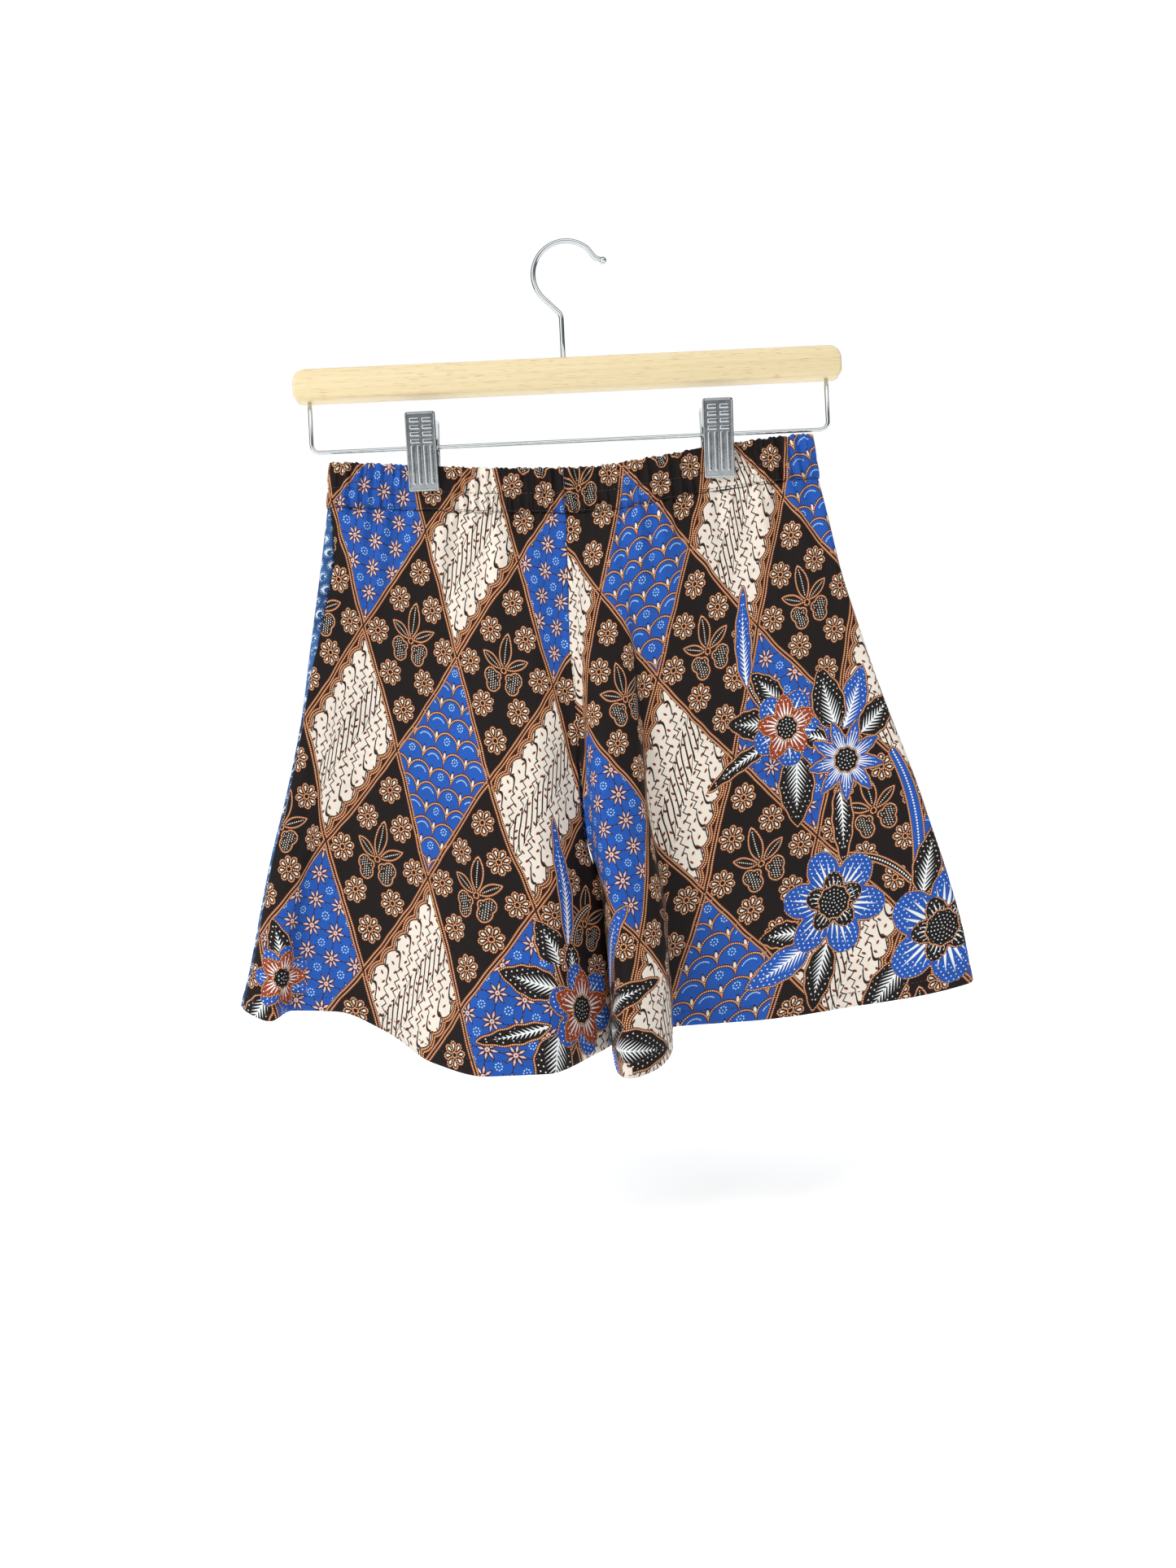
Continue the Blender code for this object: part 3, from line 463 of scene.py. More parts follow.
class Panel:
    """One quarter of the skort as a sheet of points: fold lines across it, waist to hem down it."""

    corner_steps = 24  # round the corner of the valley between the legs
    halvings = 30  # of the search for the side seam

    def __init__(self, cut: Cut, folds: Sequence[Fold], side: Side, face: Face) -> None:
        """Fit the curves that run through the fold lines.

        Args:
            cut: the garment's shared sizes.
            folds: the panel's fold lines, from left to right.
            side: the half that it is on.
            face: the face that it is on.
        """
        self.cut, self.side, self.face = cut, side, face
        lines = np.arange(len(folds), dtype=float)
        left = side is Side.LEFT
        self.last = lines[-1]
        self.edge, self.mouth = (0.0, self.last) if left else (self.last, 0.0)
        ends = {"flat_start": left, "flat_end": not left}
        self.waist_x = Track(lines, [fold.waist_x for fold in folds], **ends)
        self.hem_x = Track(lines, [fold.hem_x for fold in folds], **ends)
        self.waist_y = Track(lines, [fold.waist_y for fold in folds])
        self.hem_y = Track(lines, [fold.hem_y for fold in folds])
        self.hem_z = Track(lines, [fold.hem_z for fold in folds])
        self.starts = Track(lines, [fold.starts for fold in folds])
        self.edge_track = cut.left_edge if left else cut.right_edge
        self.even_places()

    def even_places(self) -> None:
        """Find the places across the fold lines that lie evenly along the waist and the hem, closer
        where they bend, and the flat widths of the waist and the hem up to each place."""
        fine = np.linspace(self.edge, self.mouth, SAMPLES)
        waist = np.stack([self.waist_x.at(fine), self.waist_y.at(fine)], axis=1)
        hem = np.stack([self.hem_x.at(fine), self.hem_y.at(fine)], axis=1)
        length = np.zeros(len(fine))
        flat = []
        for curve in (waist, hem):
            steps = np.diff(curve, axis=0)
            headings = np.unwrap(np.arctan2(steps[:, 1], steps[:, 0]))
            bends = np.abs(np.diff(headings, prepend=headings[0]))
            plain = np.linalg.norm(steps, axis=1)
            sizes = plain + self.cut.bend_worth * bends
            length[1:] += np.cumsum(sizes) / sizes.sum()
            flat.append(line_lengths(curve))
        self.share, self.fine = length / length[-1], fine
        self.waist_flat, self.hem_flat = flat

    def place_at(self, share: Array) -> Array:
        """The place across the fold lines at an even share of the panel's width."""
        return np.interp(share, self.share, self.fine)

    def by_place(self, values: Array, place: Array) -> Array:
        """One of the fine tables read at a place across the fold lines.

        Args:
            values: the fine table.
            place: places across the fold lines.
        Returns:
            The values there.
        """
        if self.fine[0] > self.fine[-1]:
            return np.interp(place, self.fine[::-1], values[::-1])
        return np.interp(place, self.fine, values)

    def height(self, across: Array, down: Array) -> Array:
        """Height of a point a share of the way down a fold line."""
        top = self.cut.seam_height(self.waist_x.at(across)) - self.cut.seam
        return mix(top, self.hem_z.at(across), down)

    def x_at(self, across: Array, z: Array) -> Array:
        """The fold line's x at a height, following the side edge's and the valley's curves.

        Args:
            across: places across the panel's fold lines.
            z: heights there.
        Returns:
            The x of each.
        """
        top = self.cut.seam_height(self.waist_x.at(across)) - self.cut.seam
        foot = self.hem_z.at(across)
        share = (top - z) / (top - foot)
        straight = mix(self.waist_x.at(across), self.hem_x.at(across), share)
        width = self.waist_x.at(self.mouth) - self.waist_x.at(self.edge)
        inward = np.abs(self.waist_x.at(across) - self.waist_x.at(self.edge)) / abs(width)
        bow = 0.0
        for track, weight in ((self.edge_track, 1 - inward), (self.cut.valley, inward)):
            bow = bow + weight * (track.at(z) - mix(track.at(top), track.at(foot), share))
        return straight + bow

    def tuck(self, across: Array, z: Array) -> Array:
        """How far the gathers below the casing push the cloth out.

        Args:
            across: places across the panel's fold lines.
            z: heights there.
        Returns:
            The push of each, outward.
        """
        cut = self.cut
        place = self.waist_x.at(across) - self.waist_x.at(self.mouth)
        width = abs(self.waist_x.at(self.edge) - self.waist_x.at(self.mouth))
        turn = 2 * math.pi * cut.tucks[self.face] * np.abs(place) / width
        uneven = 0.45 * np.sin(0.37 * turn + self.side.value) + 0.3 * np.sin(0.81 * turn)
        fade = cut.tuck_fade * (1 + 0.35 * np.sin(0.53 * turn + 1.0))
        below = cut.seam_height(self.waist_x.at(across)) - z
        rim = np.minimum(np.abs(across - self.edge), np.abs(across - self.mouth))
        push = cut.tuck_depth * (np.cos(turn + uneven) + cut.tuck_lift)
        push *= smooth_step((below + 3.0) / cut.tuck_rise)
        return push * smooth_step(rim / 1.5) * (1 - smooth_step(below / fade))

    def y_at(self, across: Array, z: Array) -> Array:
        """The fold line's y at a height.

        Args:
            across: places across the panel's fold lines.
            z: heights there.
        Returns:
            The y of each.
        """
        starts, foot = self.starts.at(across), self.hem_z.at(across)
        deep = np.maximum(0.0, (starts - z) / (starts - foot)) ** self.cut.fold_power
        y = mix(self.waist_y.at(across), self.hem_y.at(across), deep)
        return y + self.face.value * self.tuck(across, z)

    def on_fold(self, across: Array, down: Array) -> Array:
        """Points of the sheet at places across it and shares of the way down it.

        Args:
            across: places across the panel's fold lines.
            down: shares of the way down.
        Returns:
            The points.
        """
        across, down = np.broadcast_arrays(across, down)
        z = self.height(across, down)
        return np.stack([self.x_at(across, z), self.y_at(across, z), z], axis=-1)

    def side_place(self, down: Array) -> Array:
        """Place across the fold lines of a front panel where its side seam runs.

        Args:
            down: shares of the way down.
        Returns:
            The place at each.
        """
        if self.side is Side.RIGHT:
            return np.full_like(down, self.edge)
        z = self.height(np.full_like(down, self.edge), down)
        edge_x = self.x_at(np.full_like(down, self.edge), z)
        low, high = np.full_like(down, self.edge), np.full_like(down, self.edge + 3.0)
        for _ in range(self.halvings):
            middle = (low + high) / 2
            short = self.x_at(middle, z) - edge_x < self.cut.wrap.at(z)
            low, high = np.where(short, middle, low), np.where(short, high, middle)
        return low

    def inner_run(self, down: float, count: int) -> Array:
        """Points from the mouth of the valley between the legs round its corner to the seam.

        Args:
            down: share of the way from the waist to the hem.
            count: how many points follow the mouth.
        Returns:
            The points, without the mouth itself.
        """
        cut = self.cut
        start = self.on_fold(np.array(self.mouth), np.array(down))
        inside = self.on_fold(np.array(mix(self.mouth, self.edge, 0.01)), np.array(down))
        sinking = min(1.0, max(0.0, (cut.rise_starts - start[2]) / (cut.rise_starts - cut.crotch)))
        sunk = 1 - math.sqrt(1 - sinking**2)
        y_end = mix(start[1], self.face.value * cut.seam / 2, sunk)
        deep = abs(y_end - start[1])
        apart = (cut.seam + cut.cloth * min(1.0, deep / cut.bent)) / 2
        foot = float(self.hem_z.at(self.mouth))
        spread = float(smooth_step((cut.crotch - start[2]) / (cut.crotch - foot)))
        apart = mix(apart, cut.leg_gap, spread)
        opened = float(smooth_step(sinking))
        middle = float(cut.valley.at(start[2])) + self.side.value * apart
        if self.face is Face.BACK:
            middle += cut.back_stagger * (1 - opened)
        slant = cut.leg_slant * opened
        reach = abs(middle + slant * start[1] - start[0])
        lean = abs(start[1] - inside[1]) / abs(start[0] - inside[0]) * reach
        depth = max(deep, cut.bent)
        y_corner = mix(start[1], y_end, min(0.5, lean / depth))
        y_turn = mix(start[1], y_end, min(1.0, max(0.75, reach / depth)))
        seam_top = float(cut.seam_height(cut.valley.at(start[2]))) - cut.seam
        z_end = mix(seam_top, cut.seat_hem, down)
        corner = np.array([middle + slant * y_corner, y_corner, mix(start[2], z_end, 0.5)])
        turn = np.array([middle + slant * y_turn, y_turn, mix(start[2], z_end, 0.8)])
        shares = np.linspace(0.0, 1.0, self.corner_steps)[:, None]
        line = mix(mix(start, corner, shares), mix(corner, turn, shares), shares)
        line = np.vstack([line, [middle + slant * y_end, y_end, z_end]])
        reached = (line[:, 1] - start[1]) / (y_end - start[1] + self.face.value * -1e-6)
        swing = float(smooth_step((cut.swing_starts - start[2]) / cut.swing_rise))
        swing *= cut.leg_bulge * min(1.0, deep / cut.swing_depth)
        line[:, 0] += swing * np.sin(math.pi * np.clip(reached, 0.0, 1.0))
        along = line_lengths(line)
        return read_table(np.linspace(0.0, along[-1], count + 1)[1:], along, line)


@dataclass
class Sheet:
    """A grid of points with the flat cloth's own coordinates at each, in millimetres."""

    points: Array
    flat: Array


@dataclass
class ClothSizes:
    """How finely and how thickly a panel of cloth is made."""

    rows: int = 176
    columns: dict[Face, int] = field(default_factory=lambda: {Face.FRONT: 138, Face.BACK: 112})
    wrap_columns: int = 8
    inner_columns: int = 14
    wall: float = 0.6
    hem_wall: float = 1.25
    crowding: float = 1.08
    seam_dip: tuple[float, float] = (0.55, 1.3)  # depth and width
    hem_dip: tuple[float, float] = (0.35, 0.9)
    casing_dip: tuple[float, float] = (0.2, 1.2)
    gather_fade: float = 13.0  # below the casing
    gather_rim: float = 14.0  # the gathers' distance from the panel's edges
    pucker: float = 0.16
    pucker_height: float = 10.0
    pucker_rim: float = 8.0


class Garment:
    """The skort's cloth: four panels and the gathered casing, as sheets of points."""

    def __init__(self, cut: Cut, sizes: ClothSizes) -> None:
        """Lay out the four panels.

        Args:
            cut: the garment's shared sizes.
            sizes: how finely it is made.
        """
        self.cut, self.sizes = cut, sizes
        self.panels = {key: Panel(cut, folds, *key) for key, folds in FOLDS.items()}
        self.waist_line()

    def waist_line(self) -> None:
        """Work out the middle line of the casing's foot, all round, and where each panel starts."""
        runs, self.waist_start, along = [], {}, 0.0
        order = (
            ((Side.LEFT, Face.FRONT), False),
            ((Side.RIGHT, Face.FRONT), False),
            ((Side.RIGHT, Face.BACK), True),
            ((Side.LEFT, Face.BACK), True),
        )
        for key, backward in order:
            panel = self.panels[key]
            places = np.linspace(0, panel.last, SAMPLES // 3)
            places = places[::-1] if backward else places
            run = np.stack([panel.waist_x.at(places), panel.waist_y.at(places)], axis=1)
            if runs:
                along += float(np.linalg.norm(run[0] - runs[-1][-1]))
            self.waist_start[key] = (places, along + line_lengths(run))
            along = float(self.waist_start[key][1][-1])
            runs.append(run)
        self.ring = np.vstack([*runs, runs[0][:1]])
        self.ring_along = line_lengths(self.ring)

    def gather_at(self, key: tuple[Side, Face], across: Array) -> Array:
        """Which gather of the casing stands above a place across a panel.

        Args:
            key: the panel.
            across: places across the panel's fold lines.
        Returns:
            The gather's number, with its fraction.
        """
        places, along = self.waist_start[key]
        if places[0] > places[-1]:
            places, along = places[::-1], along[::-1]
        return np.interp(across, places, along) / self.ring_along[-1] * self.cut.gathers

    def flat_part(self, x: Array) -> Array:
        """1 on the flat of the waist, to 0 at its two side edges.

        Args:
            x: places across the waist.
        Returns:
            The share at each.
        """
        left = FOLDS[Side.LEFT, Face.FRONT][0].waist_x
        right = FOLDS[Side.RIGHT, Face.FRONT][-1].waist_x
        from_edge = np.minimum(x - left, right - x)
        return smooth_step((from_edge - 1.0) / self.cut.side_turn)

    def gather_push(self, gather: Array, x: Array) -> Array:
        """How far the casing's gathers stand out at its foot.

        Args:
            gather: the gathers' numbers.
            x: places across the waist.
        Returns:
            The push of each.
        """
        cut = self.cut
        uneven = 1 + 0.3 * np.sin(0.61 * gather + 0.5)
        push = cut.gather_depth * np.cos(2 * math.pi * gather + 0.8) * uneven
        return push * (1 - cut.clip_hold(x)) * mix(cut.gather_at_sides, 1.0, self.flat_part(x))

    def panel_sheet(self, side: Side, face: Face) -> Sheet:
        """The points of one panel, from its side seam to its centre or inner leg seam.

        Args:
            side: the panel's half.
            face: the panel's face.
        Returns:
            Its sheet, with creases and gathers.
        """
        cut, sizes = self.cut, self.sizes
        panel, front = self.panels[side, face], self.panels[side, Face.FRONT]
        downs = np.linspace(0.0, 1.0, sizes.rows) ** sizes.crowding
        columns = sizes.columns[face]
        seam = front.side_place(downs)
        wrapped = face is Face.BACK and side is Side.LEFT
        if face is Face.FRONT:
            order = np.argsort(panel.fine)
            start = np.interp(seam, panel.fine[order], panel.share[order])
        else:
            start = np.zeros_like(downs)
        even = np.linspace(0.0, 1.0, columns)
        shares = start[:, None] + (1 - start[:, None]) * even[None, :]
        across = panel.place_at(shares)
        points = panel.on_fold(across, downs[:, None])
        flat_u = mix(
            panel.by_place(panel.waist_flat, across) / cut.gathered_to,
            panel.by_place(panel.hem_flat, across),
            downs[:, None],
        )
        if wrapped:
            turn = np.linspace(0.0, 1.0, sizes.wrap_columns, endpoint=False)
            turned = mix(seam[:, None], front.edge, turn[None, :])
            lead = front.on_fold(turned, downs[:, None])
            gap = np.linalg.norm(lead[:, -1] - points[:, 0], axis=1)
            back = lengths_along(lead, 1)
            flat_lead = -(back[:, -1:] - back + gap[:, None])
            points = np.concatenate([lead, points], axis=1)
            flat_u = np.concatenate([flat_lead, flat_u], axis=1)
            across = np.concatenate([np.full_like(turned, panel.edge), across], axis=1)
        body = points.shape[1]
        inner = np.stack([panel.inner_run(float(down), sizes.inner_columns) for down in downs])
        run = lengths_along(np.concatenate([points[:, -1:], inner], axis=1), 1)[:, 1:]
        flat_u = np.concatenate([flat_u, flat_u[:, -1:] + run], axis=1)
        points = np.concatenate([points, inner], axis=1)
        across = np.concatenate([across, np.full_like(run, panel.mouth)], axis=1)
        flat_v = -lengths_along(points, 0)
        centre = flat_u[:, body - 1 : body]
        flat_u = (centre - flat_u) * side.value
        points = self.relief(points, across, side, face, body)
        return Sheet(points, np.stack([flat_u, flat_v], axis=2))

    def crease_push(self, crease: Crease, across: Array, along: Array, below: Array) -> Array:
        """How far one crease pushes a panel out.

        Args:
            crease: the crease.
            across: places across the panel's fold lines, before the turn between the legs.
            along: distances along its rows.
            below: depths below its first row.
        Returns:
            The push at each point.
        """
        share = (below[:, 0] - crease.top) / crease.length
        held = np.clip(share, 0.0, 1.0)
        order = np.argsort(across[0])
        rows = zip(crease.place + crease.lean * held, across[:, order], along[:, order])
        centre = np.array([np.interp(*row) for row in rows])
        if crease.top > 0:
            fade = np.sin(np.pi * held) ** 1.5
        else:
            fade = np.where(share < 0, 0.0, 1 - smooth_step(share))
        width = crease.width * (0.75 + 0.6 * held)
        off = (along - centre[:, None]) / width[:, None]
        return crease.depth * fade[:, None] * np.cos(np.clip(off, -1, 1) * math.pi / 2) ** 2

    def relief(self, points: Array, across: Array, side: Side, face: Face, body: int) -> Array:
        """Press creases, gathers, the hem's stitching and the seams' dips into a panel.

        Args:
            points: the panel's smooth points.
            across: their places across its fold lines.
            side: the panel's half.
            face: the panel's face.
            body: how many columns lie before the turn between the legs.
        Returns:
            The moved points.
        """
        sizes, creases = self.sizes, CREASES[side, face]
        normals = grid_normals(points)
        normals *= face.value * np.sign(np.mean(normals[:, : body - 4, 1]))
        along = lengths_along(points, 1)
        below = points[:1, :, 2] - points[:, :, 2]
        above = lengths_to_foot(points)
        push = sum(self.crease_push(crease, across[:, :body], along, below) for crease in creases)
        gather = self.gather_at((side, face), across)
        waves = self.gather_push(gather, points[:, :, 0]) * np.exp(-below / sizes.gather_fade)
        rim = np.minimum(along, along[:, body - 1 : body] - along)
        push += waves * smooth_step(rim / sizes.gather_rim)
        push -= dip(above - self.cut.hem_height, *sizes.hem_dip)
        pucker = sizes.pucker * np.sin(along / 4.6 + 2.0 * np.sin(along / 17.0))
        push += pucker * dip(above, 1.0, sizes.pucker_height) * smooth_step(rim / sizes.pucker_rim)
        push -= dip(np.minimum(along, along[:, -1:] - along), *sizes.seam_dip)
        push -= dip(below, *sizes.casing_dip)
        return points + normals * push[:, :, None]


# ---- Meshes


def mesh_of(bm: BMesh, name: str) -> bpy.types.Mesh:
    """The mesh that a bmesh holds, which is freed.

    Args:
        bm: the bmesh.
        name: the mesh's name.
    Returns:
        The mesh.
    """
    mesh = bpy.data.meshes.new(name)
    bm.to_mesh(mesh)
    bm.free()
    return mesh


def place_object(
    name: str, mesh: bpy.types.Mesh, materials: Sequence[Material], smooth: bool = True
) -> Object:
    """A new object at the origin with the mesh and its materials.

    Args:
        name: the piece's name.
        mesh: its mesh, in metres.
        materials: its finishes.
        smooth: whether its faces are shaded smooth.
    Returns:
        The object, linked into the scene.
    """
    for material in materials:
        mesh.materials.append(material)
    if smooth:
        mesh.shade_smooth()
    return linked(name, mesh)


def linked(name: str, data: bpy.types.ID) -> Object:
    """A new object of a mesh, a lamp or a camera, linked into the scene.

    Args:
        name: its name.
        data: the mesh, lamp or camera.
    Returns:
        The object.
    """
    made = bpy.data.objects.new(name, data)
    bpy.context.scene.collection.objects.link(made)
    return made


def grid_places(mesh: bpy.types.Mesh) -> list[Array]:
    """The row and the column of each vertex of a mesh that was made by sheet_bmesh.

    Args:
        mesh: the mesh.
    Returns:
        The rows and the columns.
    """
    found = [np.empty(len(mesh.vertices), np.int32) for _ in range(2)]
    for name, values in zip(("row", "column"), found):
        mesh.attributes[name].data.foreach_get("value", values)
    return found


def sheet_bmesh(points: Array) -> BMesh:
    """A grid moved onto the points of a piece of cloth.

    Args:
        points: rows and columns of points, in millimetres.
    Returns:
        The bmesh, whose vertices carry their row and column in the layers "row" and "column".
    """
    height, width = points.shape[:2]
    bm = bmesh.new()
    bmesh.ops.create_grid(bm, x_segments=width - 1, y_segments=height - 1, size=1.0)
    row_layer = bm.verts.layers.int.new("row")
    column_layer = bm.verts.layers.int.new("column")
    for vert in bm.verts:
        column = round((vert.co.x + 1) / 2 * (width - 1))
        row = round((vert.co.y + 1) / 2 * (height - 1))
        vert[row_layer], vert[column_layer] = row, column
        vert.co = Vector(points[row, column]) * MM
    return bm


def lay_flat_map(bm: BMesh, flat: Array, name: str) -> None:
    """Write the flat cloth's coordinates of a sheet's faces into a UV map, in metres.

    Args:
        bm: the sheet, from sheet_bmesh.
        flat: the flat coordinates of each row and column, in millimetres.
        name: the map's name.
    """
    row_layer = bm.verts.layers.int["row"]
    column_layer = bm.verts.layers.int["column"]
    uv = bm.loops.layers.uv.new(name)
    for face in bm.faces:
        for loop in face.loops:
            vert = loop.vert
            loop[uv].uv = flat[vert[row_layer], vert[column_layer]] * MM


class Casing:
    """The gathered waist: cloth turned over the elastic, as one closed ring of cloth."""

    profile_outer = 24  # rows up the outside
    profile_top = 5  # rows over the top
    profile_inner = 6  # rows down the inside
    foot_out = 0.45  # how far the foot stands out from the waist's middle line
    foot_in = 0.35  # and its raw edges inside
    foot_round = 0.07  # share of the height over which the foot rounds out
    top_step = 0.6  # flat length of a step over the top
    pinch = (0.6, 0.8)  # depth and width of the hollow along a row of stitching
    puff_below, puff_above = 0.6, 0.55  # bulges below and above the upper row
    puff_ends = 1.15  # share of the height at which the upper bulge would end
    join_reach = {Face.FRONT: 6.0, Face.BACK: 12.0}  # from a panel's centre, cloth of its print

    def __init__(self, garment: Garment, columns_a_gather: int = 14) -> None:
        """Keep the garment whose waist this is, and how finely a gather is made."""
        self.garment, self.cut = garment, garment.cut
        self.count = garment.cut.gathers * columns_a_gather

    def band_relief(self, rise: Array, gather: Array) -> Array:
        """How far the casing's outside bulges between its rows of stitching.

        Args:
            rise: share of the way up the casing.
            gather: which gather the column belongs to.
        Returns:
            The push, in millimetres.
        """
        cut = self.cut
        rows = [1 - below / cut.casing_height for below in cut.stitch_rows]
        from_row = math.pi * (rise - rows[0])
        above = rise > rows[0]
        puff = self.puff_below * np.abs(np.sin(from_row / (rows[0] - rows[1])))
        upper = self.puff_above * np.sin(from_row / (self.puff_ends - rows[0]))
        puff = np.where(above, upper, puff)
        pinch = sum(dip((rise - row) * cut.casing_height, *self.pinch) for row in rows)
        band = np.where(above, 0.0, 1.9)
        turn = 2 * math.pi * gather
        lively = 0.42 * np.sin(1.9 * turn + 1.4 + band + 2.0 * rise + 1.1 * np.sin(0.23 * turn))
        lively += 0.3 * np.sin(3.1 * turn + 2.1 * band + 1.3 * np.sin(0.37 * turn))
        return puff - pinch + lively * np.abs(np.sin(from_row * 1.7)) ** 0.6

    def sheet(self) -> tuple[Sheet, Array, Array]:
        """The casing's grid of points.

        Returns:
            The sheet, and for each column 1 where it is of the front print and 1 where it is on
            the right half.
        """
        cut, garment = self.cut, self.garment
        ring, along = garment.ring, garment.ring_along
        place = along[-1] * np.arange(self.count + 1) / self.count
        gather = np.arange(self.count + 1) / self.count * cut.gathers

        def on_ring(spot: Array) -> Array:
            """Points of the casing's foot line."""
            return read_table(spot % along[-1], along, ring)

        foot = on_ring(place)
        run = on_ring(place + 0.5) - on_ring(place - 0.5)
        run /= np.linalg.norm(run, axis=1, keepdims=True)
        normal = np.stack([run[:, 1], -run[:, 0]], axis=1)
        soft = mix(0.5, 1.0, garment.flat_part(foot[:, 0]))
        push = garment.gather_push(gather, foot[:, 0])
        hold = 1 - cut.clip_hold(foot[:, 0])
        half = cut.casing_wall / 2
        rows = [(0.0, self.foot_in, 0.0)]
        for rise in np.linspace(0.0, 1.0, self.profile_outer):
            bulge = self.band_relief(np.full_like(gather, rise), gather) * hold
            rounding = math.sqrt(1 - (1 - min(1.0, rise / self.foot_round)) ** 2)
            rows.append((rise, mix(self.foot_out, half, rounding) + bulge * soft * rounding, 0.0))
        over = np.linspace(0.0, math.pi, self.profile_top + 2)[1:-1]
        rows += [(1.0, half * math.cos(angle), half * math.sin(angle)) for angle in over]
        rows += [(rise, -half, 0.0) for rise in np.linspace(1.0, 0.0, self.profile_inner)]
        rows.append((0.0, -self.foot_in, 0.0))
        turn = 2 * math.pi * gather
        wave = 0.3 * np.sin(0.5 * turn + 0.7) + 0.35 * np.sin(1.9 * turn + 1.2 * np.sin(0.31 * turn))
        points = []
        for rise, out, lift in rows:
            swell = push * mix(1.0, cut.gather_at_middle, math.sin(math.pi * rise))
            x = cut.waist_centre + (foot[:, 0] - cut.waist_centre) * (1 - cut.casing_taper * rise)
            z = cut.seam_height(foot[:, 0]) + (cut.casing_height - half) * rise + lift
            points.append(np.stack([x, foot[:, 1], z + wave * hold * rise**3], axis=1))
            points[-1][:, :2] += normal * (swell + out)[:, None]
        steps = np.abs(np.diff([row[0] for row in rows])) * cut.casing_height
        flat_v = np.concatenate([[0.0], np.cumsum(np.where(steps == 0, self.top_step, steps))])
        u, front, right = self.flat_columns(place)
        flat = np.stack(np.broadcast_arrays(u[None, :], flat_v[:, None]), axis=2)
        return Sheet(np.stack(points), flat), front, right

    def flat_columns(self, place: Array) -> tuple[Array, Array, Array]:
        """The flat cloth's coordinate across at each column, as the panels below have it.

        Args:
            place: distance of each column along the casing's foot line.
        Returns:
            The coordinates, 1 for each column of the front print, and 1 for each of the right half.
        """
        garment, cut = self.garment, self.cut
        spot = place % garment.ring_along[-1]
        starts = garment.waist_start
        u = np.zeros_like(place)
        last_front = starts[Side.RIGHT, Face.FRONT][1][-1]
        front = np.where(spot <= last_front + 0.01, 1.0, 0.0)
        right = np.zeros_like(place)
        for (side, face), (places, along) in starts.items():
            mouth = along[-1] if (side is Side.LEFT) == (face is Face.FRONT) else along[0]
            reach = self.join_reach[face]
            within = (spot >= along[0] - 0.01) & (spot <= along[-1] + 0.01)
            near = ~within & (np.abs(spot - mouth) < reach)
            across = np.interp(spot, along, places)
            panel = garment.panels[side, face]
            whole = panel.waist_flat[-1]
            flat = (whole - panel.by_place(panel.waist_flat, across)) / cut.gathered_to * side.value
            beyond = -np.abs(spot - mouth) / cut.gathered_to * side.value
            u = np.where(within, flat, np.where(near, beyond, u))
            right = np.where(within | near, 1.0 if side is Side.RIGHT else 0.0, right)
        return u, front, right


# ---- Bunches of flowers laid over the print


@dataclass(frozen=True)
class Motif:
    """A motif at its place on the flat cloth, and which way it points, in degrees."""

    u: float
    v: float
    turn: float

    def turned(self, flat: Array) -> tuple[Array, Array]:
        """Distances of places on the cloth along the motif and across it.

        Args:
            flat: flat coordinates of the cloth.
        Returns:
            The two distances.
        """
        c, s = math.cos(math.radians(self.turn)), math.sin(math.radians(self.turn))
        du, dv = flat[..., 0] - self.u, flat[..., 1] - self.v
        return du * c + dv * s, dv * c - du * s


@dataclass(frozen=True)
class Leaf(Motif):
    """A leaf from its foot: its size, how far its tip bends aside and whether its ground is blue."""

    length: float
    half_width: float
    bend: float = 0.0
    blue: bool = False
    layer: str = "leaf_a"

    def coordinates(self, flat: Array) -> Array:
        """The leaf's own coordinates of places on the cloth: share along it, distance across it,
        and its whole length with its half width as hundredths, below 0 where it is blue.

        Args:
            flat: flat coordinates of the cloth.
        Returns:
            The three numbers at each place.
        """
        run, off = self.turned(flat)
        run = run / self.length
        off = off - self.bend * np.clip(run, -0.2, 1.3) ** 2
        code = (self.length + self.half_width / 100) * (-1 if self.blue else 1)
        return np.stack([run, off, np.full_like(run, code)], axis=-1)

    def near(self, own: Array) -> Array:
        """Where the leaf and its outline may lie.

        Args:
            own: the motif's own coordinates of places on the cloth.
        Returns:
            Whether it may lie there.
        """
        margin = 3.0 / self.length
        along = (own[..., 0] > -margin) & (own[..., 0] < 1 + margin)
        return along & (np.abs(own[..., 1]) < self.half_width + 4.0)


@dataclass(frozen=True)
class Flower(Motif):
    """A flower about its middle: its radius and its petals."""

    radius: int
    petals: int
    pointed: bool = False
    rusty: bool = False
    layer: str = "flower"

    def coordinates(self, flat: Array) -> Array:
        """The flower's own coordinates of places on the cloth, over its radius, and a number of a
        hundred times its petals, its radius and a quarter or three where they are pointed, below 0
        where its inner petals are rust.

        Args:
            flat: flat coordinates of the cloth.
        Returns:
            The three numbers at each place.
        """
        x, y = (at / self.radius for at in self.turned(flat))
        code = self.petals * 100 + self.radius + (0.75 if self.pointed else 0.25)
        return np.stack([x, y, np.full_like(x, -code if self.rusty else code)], axis=-1)

    def near(self, own: Array) -> Array:
        """Where the flower and its outline may lie."""
        return np.hypot(own[..., 0], own[..., 1]) < 1.0 + 3.0 / self.radius


